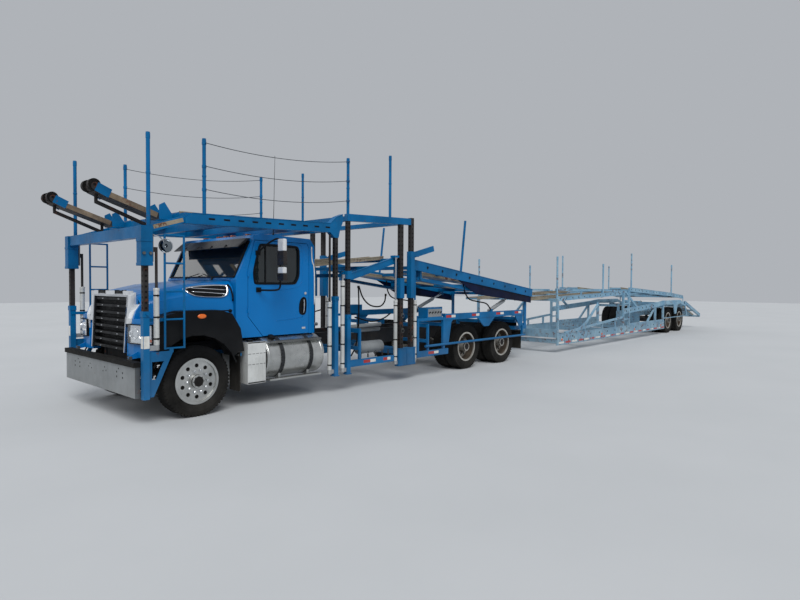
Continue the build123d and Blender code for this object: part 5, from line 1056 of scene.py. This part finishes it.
# Pole tops: caps and rings, each pole a distance, a place across and its top's height
POLES = {"head_deck": [(-0.65, 1.228, 3.56), (0.08, 1.228, 3.62)],
         "truck": [(2.61, 1.226, 3.79), (3.61, 1.226, 4.0)],
         "trailer_front_deck": [(9.96, 1.215, 2.50), (12.87, 1.215, 2.40)],
         "trailer_rear_deck": [(15.15, 1.205, 2.81), (19.25, 1.205, 2.56)]}
CAP_PROFILE = [(0.004, -0.001), (0.02, -0.002), (0.0255, -0.008), (0.0268, -0.02), (0.0268, -0.075),
               (0.0242, -0.08), (0.004, -0.08)]
for body, places in POLES.items():
    for side_name, side in SIDES.items():
        shape = Shape(side)
        for place in places:
            shape.ring(place, CAP_PROFILE, UP, 20)
            shape.ring(place, [(0.0245, -0.50), (0.0275, -0.495), (0.0275, -0.475), (0.0245, -0.47)], UP, 16)
        paint = "trailer_paint" if body.startswith("trailer") else "blue_paint"
        shape.make(f"pole_caps_{body}_{side_name}", body, "blue_paint", paint)

# Ropes between the poles over the cab, one run across the joint that lifts the head deck
ROPE_ENDS = [(3.56, 3.73), (3.26, 3.42), (2.96, 3.10)]
ROPE_FRONT = 0.08
ROPE_REAR = 2.61
ROPE_Y = 1.262
ROPE_SAG = 0.085
ROPE_STEPS = 40
for side_name, side in SIDES.items():
    for number, (front_z, rear_z) in enumerate(ROPE_ENDS):
        shape = Shape(side)
        shape.tube([(ROPE_FRONT + (ROPE_REAR - ROPE_FRONT) * share, ROPE_Y,
                     front_z + (rear_z - front_z) * share - ROPE_SAG * 4 * share * (1 - share))
                    for share in [step / ROPE_STEPS for step in range(ROPE_STEPS + 1)]], 0.0052, 6)
        rope = shape.link(f"rope_{side_name}_{number}", "rope")
        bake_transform(rope)
    for body, distance, across, end in (("head_deck", ROPE_FRONT, 1.228, 0), ("truck", ROPE_REAR, 1.226, 1)):
        shape = Shape(side)
        for height in [ends[end] for ends in ROPE_ENDS]:
            shape.ring((distance, across, height), [(0.0242, -0.022), (0.029, -0.018), (0.029, 0.018),
                                                    (0.0242, 0.022)], UP, 16)
            shape.bar((distance, across + 0.026, height), (distance, 1.268, height), 0.006, 8)
        shape.make(f"rope_rings_{body}_{side_name}", body, "blue_paint")

# Whip antenna behind the cab roof
shape = Shape()
shape.bar((1.35, 0.95, 2.44), (1.35, 0.95, 2.50), 0.018, 12, 0.010)
shape.bar((1.35, 0.95, 2.49), (1.38, 0.95, 3.66), 0.005, 6, 0.0028)
shape.make("antenna", "truck", "black_plastic")

# Deck tracks: pale worn skins with raised edges and rows of cleats
TRACK_INNER = 0.56
TRACK_OUTER = 0.93
TRACK_TOP = 0.0235
CLEAT_SPACING = 0.16
# Each deck's track: (distance, height) of its middle line's two ends
TRACKS = {
    "head_deck": ((-0.11, 2.6545), (2.42, 2.6545)),
    "mid_deck": ((2.15, 2.05), (3.76, 2.225)),
    "rear_deck": ((4.42, 1.99), (8.64, 1.61)),
    "trailer_front_deck": ((8.92, 1.385), (14.25, 1.545)),
    "trailer_rear_deck": ((14.98, 1.67), (20.54, 1.385)),
    "tail_ramp": ((21.06, 1.11), (23.25, 0.50)),
}


def along_line(start, end):
    """Gives a function: a length along a line in the side view, a y and a rise above it make a place."""
    first = Vector(start)
    run = (Vector(end) - first).normalized()
    upward = Vector((-run.y, run.x)) if run.x > 0 else Vector((run.y, -run.x))

    def place(length, across, rise):
        flat = first + run * length + upward * rise
        return (flat.x, across, flat.y)

    return place


def put_track(skins, cleats, start, end):
    """A worn skin over a wheel track, with rims and cleats."""
    place = along_line(start, end)
    length = (Vector(end) - Vector(start)).length
    middle = (TRACK_INNER + TRACK_OUTER) / 2
    skins.beam(place(0.004, middle, TRACK_TOP), place(length - 0.004, middle, TRACK_TOP),
               TRACK_OUTER - TRACK_INNER - 0.004, 0.004)
    rim_top = TRACK_TOP + 0.004
    for across in (TRACK_INNER + 0.003, TRACK_OUTER - 0.003):
        skins.bar(place(0.002, across, rim_top), place(length - 0.002, across, rim_top), 0.011, 8)
        skins.beam(place(0.002, across, 0), place(length - 0.002, across, 0), 0.008, 0.05)
    count = int(length / CLEAT_SPACING)
    for along in [number * length / count for number in range(1, count)]:
        cleats.beam(place(along, TRACK_INNER + 0.03, rim_top), place(along, TRACK_OUTER - 0.03, rim_top),
                    0.016, 0.010)
        for across in (0.65, 0.745, 0.84):
            beside = along + CLEAT_SPACING / 2
            cleats.bar(place(beside, across, TRACK_TOP + 0.0015), place(beside, across, TRACK_TOP + 0.0035),
                       0.026, 10)


for body, (start, end) in TRACKS.items():
    skins, cleats = Shape(), Shape()
    for side in skins.sides():
        cleats.side = side
        put_track(skins, cleats, start, end)
    slot = "trailer_paint" if body.startswith("t") else "blue_paint"
    skins.make(f"track_skins_{body}", body, slot, "track_steel")
    cleats.make(f"track_cleats_{body}", body, slot, "track_cleat")

# Arms over the hood: rusty boxes with worn tops, blue tip brackets and black rollers
ARM_HINGE = (-0.33, 2.60)
ARM_TIP = (-1.12, 2.86)
ROLLER_PROFILE = [(0.0195, -0.034), (0.05, -0.034), (0.055, -0.031), (0.0715, -0.031), (0.0715, 0.031),
                  (0.055, 0.031), (0.05, 0.034), (0.0195, 0.034)]
arm_point = along_line(ARM_HINGE, ARM_TIP)
arms, tips, rollers = Shape(), Shape(), Shape()
for side in arms.sides():
    tips.side = rollers.side = side
    for across in (0.66, 0.75, 0.84):
        arms.beam(arm_point(0.06, across, 0.033), arm_point(0.80, across, 0.033), 0.06, 0.008)
    for across in (0.622, 0.878):
        arms.beam(arm_point(0.05, across, 0.0), arm_point(0.80, across, 0.0), 0.006, 0.064)
        tips.beam(arm_point(0.66, across, 0.012), arm_point(0.83, across, 0.03), 0.012, 0.11)
    tips.beam(arm_point(0.70, 0.65, 0.045), arm_point(0.70, 0.85, 0.045), 0.03, 0.03)
    for across in (0.655, 0.845):
        centre = (ARM_TIP[0] - 0.0085, across, ARM_TIP[1] + 0.05)
        rollers.ring(centre, ROLLER_PROFILE, (0, 1, 0), 28)
        rollers.plug((centre[0], across - 0.04, centre[2]), 0.08, 0.016)
arms.make("arm_skins", "head_arms", "rusty_steel", "arm_tan")
tips.make("arm_tips", "head_arms", "blue_paint")
rollers.make("arm_rollers", "head_arms", "black_plastic", "black_and_hole_shade")

# Bumper: a grey worn face with two rows of holes and a black rubber lip
shape = Shape()
shape.box(-0.8215, -0.8185, -1.191, 1.191, 0.722, 0.781)
shape.box(-0.8215, -0.719, -1.191, 1.191, 0.7795, 0.7825, 0.001)
for side in shape.sides():
    shape.box(-0.82, -0.722, 1.1895, 1.192, 0.722, 0.781)
shape.make("bumper_lip", "truck", "flap_rubber")
shape = Shape()
shape.box(-0.8012, -0.7985, -1.178, 1.178, 0.347, 0.7195)
shape.make("bumper_skin", "truck", "worn_steel", "bumper_grey")
BUMPER_FRONT = -0.8012
# Each hole in one half of the bumper: its place across, height, radius and number of sides
BUMPER_HOLES = [(0.64, 0.56, 0.0125, 16), (0.64, 0.62, 0.0125, 16), (0.82, 0.56, 0.0125, 16),
                (0.82, 0.62, 0.0125, 16), (0.70, 0.665, 0.010, 12), (0.25, 0.64, 0.010, 12),
                (0.2, 0.585, 0.010, 12), (0.3, 0.6, 0.010, 12)]
# The bumper's holes are dark discs: painted shade inside each hole
shape = Shape()
for side in shape.sides():
    for across, height, radius, count in BUMPER_HOLES:
        shape.bar((BUMPER_FRONT, across, height), (BUMPER_FRONT - 0.001, across, height), radius, count)
shape.make("bumper_holes", "truck", "black_plastic", "black_and_hole_shade")

# Tanks: straps, treads, caps and ribs
TANK_Y = 0.92
TANK_Z = 0.655
STRAP_PROFILE = [(0.3125, -0.034), (0.316, -0.030), (0.316, 0.030), (0.3125, 0.034), (0.311, 0.034),
                 (0.311, -0.034)]
END_PROFILE = [(0.004, 0.016), (0.12, 0.015), (0.22, 0.011), (0.275, 0.004), (0.298, -0.004),
               (0.3065, -0.016), (0.3065, -0.03), (0.29, -0.03), (0.004, -0.03)]
SEAM_PROFILE = [(0.3052, -0.05), (0.3085, -0.045), (0.3085, -0.035), (0.3052, -0.03)]


def put_tank_pieces(side_name, side):
    """One side's fuel tank and box tank."""
    shape = Shape(side)
    for height in (0.905, 0.355):
        for distance in [1.15 + number * 0.0385 for number in range(24)]:
            shape.box(distance, distance + 0.014, 1.108, 1.187, height, height + 0.004, 0.001)
    shape.box(1.12, 2.08, 1.192, 1.1965, 0.878, 0.907)
    shape.make(f"tank_treads_{side_name}", "truck", "black_plastic", "worn_steel")
    shape = Shape(side)
    for distance in (1.33, 1.86):
        shape.ring((distance, TANK_Y, TANK_Z), STRAP_PROFILE, (1, 0, 0), 72)
        for turn in [math.radians(-24 + 9 * step) for step in range(6)]:
            y, z = TANK_Y + 0.317 * math.cos(turn), TANK_Z + 0.317 * math.sin(turn)
            shape.bar((distance + 0.024, y, z), (distance - 0.024, y, z), 0.007, 6)
    shape.make(f"tank_straps_{side_name}", "truck", "black_plastic", "strap_dark")
    shape = Shape(side)
    for distance, outward in ((1.06, (1, 0, 0)), (2.11, (-1, 0, 0))):
        shape.ring((distance, TANK_Y, TANK_Z), END_PROFILE, outward, 72)
        shape.ring((distance, TANK_Y, TANK_Z), SEAM_PROFILE, outward, 72)
    shape.make(f"tank_ends_{side_name}", "truck", "aluminium")
    shape = Shape(side)
    shape.bar((1.24, 1.04, 0.935), (1.24, 1.06, 0.972), 0.052, 24)
    shape.bar((1.24, 1.06, 0.968), (1.24, 1.066, 0.978), 0.03, 16, 0.02)
    for low, high in ((0.335, 0.352), (0.60, 0.606), (0.75, 0.756), (0.902, 0.917)):
        shape.box(0.752, 1.038, 1.1995, 1.2045, low, high, 0.001)
    shape.bar((0.83, 1.12, 0.918), (0.83, 1.12, 0.95), 0.045, 24)
    shape.make(f"tank_caps_{side_name}", "truck", "black_plastic")
    shape = Shape(side)
    shape.box(0.748, 1.042, 1.1985, 1.2025, 0.328, 0.922)
    shape.box(0.7465, 0.7505, 0.53, 1.20, 0.328, 0.922)
    for distance in [0.80 + number * 0.062 for number in range(4)]:
        shape.box(distance, distance + 0.018, 1.2025, 1.2065, 0.37, 0.88, 0.002)
    shape.make(f"box_tank_skin_{side_name}", "truck", "aluminium", "box_white")


for side_name, side in SIDES.items():
    put_tank_pieces(side_name, side)

# Decks over the truck: side panels coloured dark navy as painted shade, edge lips, holes and slots as dark
# discs and strips of painted shade; each beam is a line in the side view
REAR_LINE = ((4.33, 2.115), (8.70, 1.565))
REAR_PANEL = ((5.70, 0.088), (8.68, 0.088), (8.68, 0.24), (6.35, 0.31))
HEAD_TOP = ((-0.10, 2.638), (0.08, 2.643), (2.20, 2.703), (2.33, 2.813), (2.46, 2.863))
HEAD_BOTTOM = ((-0.2, 2.5), (2.2, 2.56))
MID_LINE = ((2.72, 1.87), (3.83, 2.19))
REAR_HOLES = [(distance, line_height(REAR_LINE, distance))
              for distance in [4.7 + number * 0.46 for number in range(9)]]


def put_lips(shape, line, front, rear, y, offsets, width, depth):
    """Adds thin lips above and below a beam's line."""
    for offset in offsets:
        shape.beam((front, y, line_height(line, front) + offset), (rear, y, line_height(line, rear) + offset),
                   width, depth)


def put_deck_pieces(side_name, side):
    """One side's details of the truck's decks."""
    # The side panel is dark navy: painted shade where the deck's side lies in shadow
    shape = Shape(side)
    for face in (1.1740, 1.1560):
        shape.face([(distance, face, line_height(REAR_LINE, distance) - drop)
                    for distance, drop in REAR_PANEL])
    shape.make(f"rear_deck_panel_{side_name}", "rear_deck", "blue_paint", "painted_shade_navy")
    shape = Shape(side)
    put_lips(shape, REAR_LINE, 4.33, 8.70, 1.168, (0.088, -0.088), 0.068, 0.012)
    for distance, height in REAR_HOLES:
        shape.ring((distance, 1.1955, height), [(0.026, 0.0), (0.036, 0.0), (0.034, 0.004), (0.028, 0.004)],
                   steps=20)
    shape.make(f"rear_deck_lips_{side_name}", "rear_deck", "blue_paint")
    # The rear deck's holes are dark discs: painted shade inside each hole
    shape = Shape(side)
    for distance, height in REAR_HOLES:
        shape.plug((distance, 1.1945, height), 0.002, 0.026, 20)
    shape.make(f"rear_deck_holes_{side_name}", "rear_deck", "black_plastic", "black_and_hole_shade")
    # Head deck: lips along its beams, a worn strip and lashing slots
    shape = Shape(side)
    shape.beams([(distance, 1.225, height) for distance, height in HEAD_TOP], 0.10, 0.010, 0.004)
    shape.beam((-0.20, 1.225, 2.502), (2.20, 1.225, 2.562), 0.10, 0.008, 0.004)
    shape.make(f"head_deck_lips_{side_name}", "head_deck", "blue_paint")
    # The lashing slots are dark strips: painted shade inside each slot
    shape = Shape(side)
    for distance in [0.12 + number * 0.22 for number in range(10)]:
        height = line_height(HEAD_BOTTOM, distance) + 0.075
        shape.box(distance, distance + 0.09, 1.2695, 1.2712, height - 0.012, height + 0.012)
    shape.make(f"head_deck_slots_{side_name}", "head_deck", "black_plastic", "black_and_hole_shade")
    shape = Shape(side)
    shape.beam((-0.60, 1.2505, 2.426), (-0.22, 1.2505, 2.542), 0.003, 0.05)
    shape.make(f"worn_strip_{side_name}", "head_deck", "rusty_steel", "track_steel")
    shape = Shape(side)
    put_lips(shape, MID_LINE, 2.66, 3.82, 1.163, (0.055, -0.055), 0.05, 0.010)
    shape.make(f"mid_deck_lips_{side_name}", "mid_deck", "blue_paint")


for side_name, side in SIDES.items():
    put_deck_pieces(side_name, side)

# Trailer: tape along the sill, lips, holes and lamps
# Each deck beam: its body, line, first and last hole, number of holes and half depth
DECK_BEAMS = [("trailer_front_deck", ((9.93, 1.40), (14.30, 1.52)), 10.1, 14.1, 12, 0.055),
              ("trailer_rear_deck", ((14.98, 1.64), (19.0, 1.45)), 15.1, 18.9, 12, 0.06),
              ("trailer_rear_deck", ((18.96, 1.452), (20.64, 1.33)), 19.2, 20.5, 5, 0.06)]
MARKER_PROFILE = [(0.002, 0.0), (0.034, 0.0), (0.032, 0.010), (0.02, 0.015), (0.002, 0.016)]
TAIL_PROFILE = [(0.002, 0.0), (0.045, 0.0), (0.043, 0.010), (0.03, 0.014), (0.002, 0.016)]
BEZEL_PROFILE = [(0.004, -0.004), (0.052, -0.004), (0.056, 0.006), (0.050, 0.008), (0.046, 0.002),
                 (0.004, 0.002)]


def put_trailer_pieces(side_name, side):
    """One side's details of the trailer."""
    lights, darks = Shape(side), Shape(side)
    for number in range(22):
        distance = 9.98 + number * 0.38
        (darks if number % 2 else lights).box(distance, distance + 0.30, 1.2692, 1.2712, 0.232, 0.282)
    lights.make(f"sill_tape_white_{side_name}", "trailer", None, "white_tape")
    darks.make(f"sill_tape_red_{side_name}", "trailer", None, "red_tape")
    shape = Shape(side)
    for height in (0.204, 0.476):
        shape.box(9.903, 18.297, 1.222, 1.277, height - 0.005, height + 0.005, 0.002)
    for line in (((14.43, 0.94), (17.39, 1.079)), ((17.41, 1.08), (18.38, 1.149))):
        put_lips(shape, line, line[0][0], line[1][0], 1.238, (-0.075, 0.075), 0.068, 0.010)
    for distance in [10.3 + number * 0.82 for number in range(10)]:
        shape.box(distance, distance + 0.045, 1.269, 1.2775, 0.206, 0.474, 0.002)
    shape.make(f"trailer_lips_{side_name}", "trailer", "trailer_paint")
    # The trailer's holes are dark discs: painted shade inside each hole
    shape = Shape(side)
    for distance in [10.2 + number * 0.58 for number in range(14)]:
        shape.plug((distance, 1.2695, 0.395), 0.0017, 0.026, 20)
    for distance in [14.62 + number * 0.36 for number in range(8)]:
        shape.plug((distance, 1.2645, 0.94 + 0.0467 * (distance - 14.4)), 0.0017, 0.030, 20)
    shape.make(f"trailer_holes_{side_name}", "trailer", "black_plastic", "black_and_hole_shade")
    # The deck beams' holes are dark discs: painted shade inside each hole
    for body, line, front, rear, count, half in DECK_BEAMS:
        holes, lips = Shape(side), Shape(side)
        for distance in [front + number * (rear - front) / (count - 1) for number in range(count)]:
            holes.plug((distance, 1.2345, line_height(line, distance)), 0.0017, 0.022, 16)
        put_lips(lips, line, front - 0.1, rear + 0.1, 1.208, (-half, half), 0.066, 0.009)
        holes.make(f"deck_holes_{body}_{side_name}_{count}_{int(front)}", body, "black_plastic", "black_and_hole_shade")
        lips.make(f"deck_lips_{body}_{side_name}_{count}_{int(front)}", body, "trailer_paint")
    shape = Shape(side)
    for distance in (14.4, 14.88):
        shape.box(distance - 0.037, distance + 0.037, 1.264, 1.2675, 0.22, 1.58)
    shape.make(f"ladder_faces_{side_name}", "trailer", "trailer_paint")
    # Tail lamps under the rear cross member, side markers along the sill
    lamps, bezels = Shape(side), Shape(side)
    for across in (0.90, 1.02, 1.14):
        bezels.ring((20.9725, across, 1.0), BEZEL_PROFILE, (-1, 0, 0), 28)
        lamps.ring((20.9745, across, 1.0), TAIL_PROFILE, (-1, 0, 0), 28)
    bezels.make(f"tail_bezels_{side_name}", "trailer", "black_plastic")
    lamps.make(f"tail_lamps_{side_name}", "trailer", None, "red_lamp", smooth=True)
    shape = Shape(side)
    for distance in (10.15, 12.7, 15.3, 17.9):
        shape.ring((distance, 1.2705, 0.335), MARKER_PROFILE, steps=24)
    shape.make(f"sill_markers_{side_name}", "trailer", None, "orange_lamp", smooth=True)
    shape = Shape(side)
    put_lips(shape, ((21.07, 1.10), (23.19, 0.522)), 21.07, 23.19, 1.183, (-0.055, 0.055), 0.066, 0.009)
    shape.make(f"ramp_lips_{side_name}", "tail_ramp", "trailer_paint")


for side_name, side in SIDES.items():
    put_trailer_pieces(side_name, side)

# Hoses and clips behind the cab, with the hanging loop that the photograph shows
HOSES = [
    [(2.93, 1.14, 1.72), (2.935, 1.15, 1.40), (2.93, 1.14, 1.05), (2.92, 1.10, 0.72), (2.90, 1.0, 0.52)],
    [(2.95, 1.13, 1.72), (3.02, 1.16, 1.52), (3.18, 1.17, 1.39), (3.42, 1.16, 1.36), (3.56, 1.15, 1.44),
     (3.60, 1.14, 1.58)],
    [(3.0, 0.98, 1.18), (3.3, 1.08, 1.10), (3.6, 1.08, 1.14), (3.9, 0.98, 1.22)],
]
AIR_TANK_Z = 0.65
AIR_END_PROFILE = [(0.003, 0.035), (0.05, 0.032), (0.085, 0.02), (0.104, 0.0), (0.1065, -0.02),
                   (0.003, -0.02)]


def put_frame_pieces(side_name, side):
    """One side's hoses, air tank, valve levers and mud flap strips."""
    shape = Shape(side)
    for places in HOSES:
        shape.curve(places, 0.0125, 10, 8)
    for distance, y, z in ((2.93, 1.14, 1.70), (2.93, 1.14, 1.05), (3.60, 1.14, 1.56)):
        shape.bar((distance, y, z - 0.02), (distance, y, z + 0.02), 0.019, 6)
    shape.make(f"hoses_{side_name}", "truck", "flap_rubber")
    # Fittings between the frame rail and the walkway: the air tank and two pipes
    shape = Shape(side)
    for distance, outward in ((3.05, (1, 0, 0)), (3.60, (-1, 0, 0))):
        shape.ring((distance, 1.0, AIR_TANK_Z), AIR_END_PROFILE, outward, 36)
    shape.bar((3.05, 1.0, AIR_TANK_Z), (3.60, 1.0, AIR_TANK_Z), 0.1064, 48)
    for start, end in (((2.74, 0.93, 1.01), (3.66, 0.95, 1.03)), ((2.80, 0.86, 0.93), (3.70, 0.88, 0.94))):
        shape.bar(start, end, 0.034, 16)
    for distance in (3.16, 3.50):
        shape.ring((distance, 1.0, AIR_TANK_Z), [(0.104, -0.016), (0.1085, -0.014), (0.1085, 0.014),
                                                 (0.104, 0.016)], (1, 0, 0), 36)
    shape.make(f"air_tank_skin_{side_name}", "truck", "worn_steel", "bumper_grey")
    shape = Shape(side)
    for distance in [4.70 + number * 0.085 for number in range(5)]:
        shape.bar((distance, 1.238, 1.19), (distance, 1.262, 1.215), 0.007, 8)
        shape.bar((distance, 1.260, 1.213), (distance, 1.272, 1.226), 0.013, 10)
    shape.make(f"valve_levers_{side_name}", "truck", "black_plastic")
    shape = Shape(side)
    shape.box(4.67, 5.08, 1.2385, 1.2425, 1.13, 1.28, 0.001)
    shape.make(f"valve_plate_{side_name}", "truck", "worn_steel", "bumper_grey")
    # Mud flaps: a stiffening strip and a row of bolts
    shape = Shape(side)
    shape.box(8.207, 8.2165, 0.61, 1.165, 0.66, 0.695, 0.001)
    shape.box(0.632, 0.6415, 0.91, 1.15, 0.735, 0.765, 0.001)
    for across in [0.65 + number * 0.095 for number in range(6)]:
        shape.bar((8.226, across, 0.678), (8.2335, across, 0.678), 0.011, 6)
    shape.make(f"flap_strips_{side_name}", "truck", "worn_steel")


for side_name, side in SIDES.items():
    put_frame_pieces(side_name, side)

# The round mirror that hangs on the near front sleeve and looks back along the truck
shell, glass = Shape(), Shape()
foot = at(-0.60, 1.24, 2.33)
centre = at(-0.46, 1.28, 2.20)
shell.curve([foot, foot.lerp(centre, 0.6) + Vector((0, 0, 0.045)), centre + Vector((0, 0, 0.01))], 0.008)
facing = (0.72, 0.66, -0.2)
shell.ring(centre, [(0.003, -0.045), (0.05, -0.040), (0.08, -0.02), (0.088, 0.0), (0.088, 0.006),
                    (0.082, 0.006), (0.08, 0.0), (0.003, 0.0)], facing, 36)
glass.ring(centre, [(0.003, 0.012), (0.04, 0.010), (0.07, 0.006), (0.0815, 0.001), (0.0815, -0.001),
                    (0.003, -0.001)], facing, 36)
shell.make("mast_mirror_shell", "head_deck", "chrome")
glass.make("mast_mirror_glass", "head_deck", "chrome", "mirror_glass", smooth=True)

# The hose between the frame and the rear deck, which hangs free
DECK_HOSE = [(5.98, 1.10, 1.84), (6.02, 1.11, 1.62), (6.18, 1.12, 1.45), (6.5, 1.12, 1.39),
             (6.82, 1.12, 1.34), (7.0, 1.12, 1.21)]
for side_name, side in SIDES.items():
    shape = Shape(side)
    shape.curve(DECK_HOSE, 0.0145, 10, 8)
    start, end = shape.spot(DECK_HOSE[0]), shape.spot(DECK_HOSE[-1])
    hose = shape.link(f"deck_hose_{side_name}", "flap_rubber")
    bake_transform(hose)
    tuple(start)
    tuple(end)
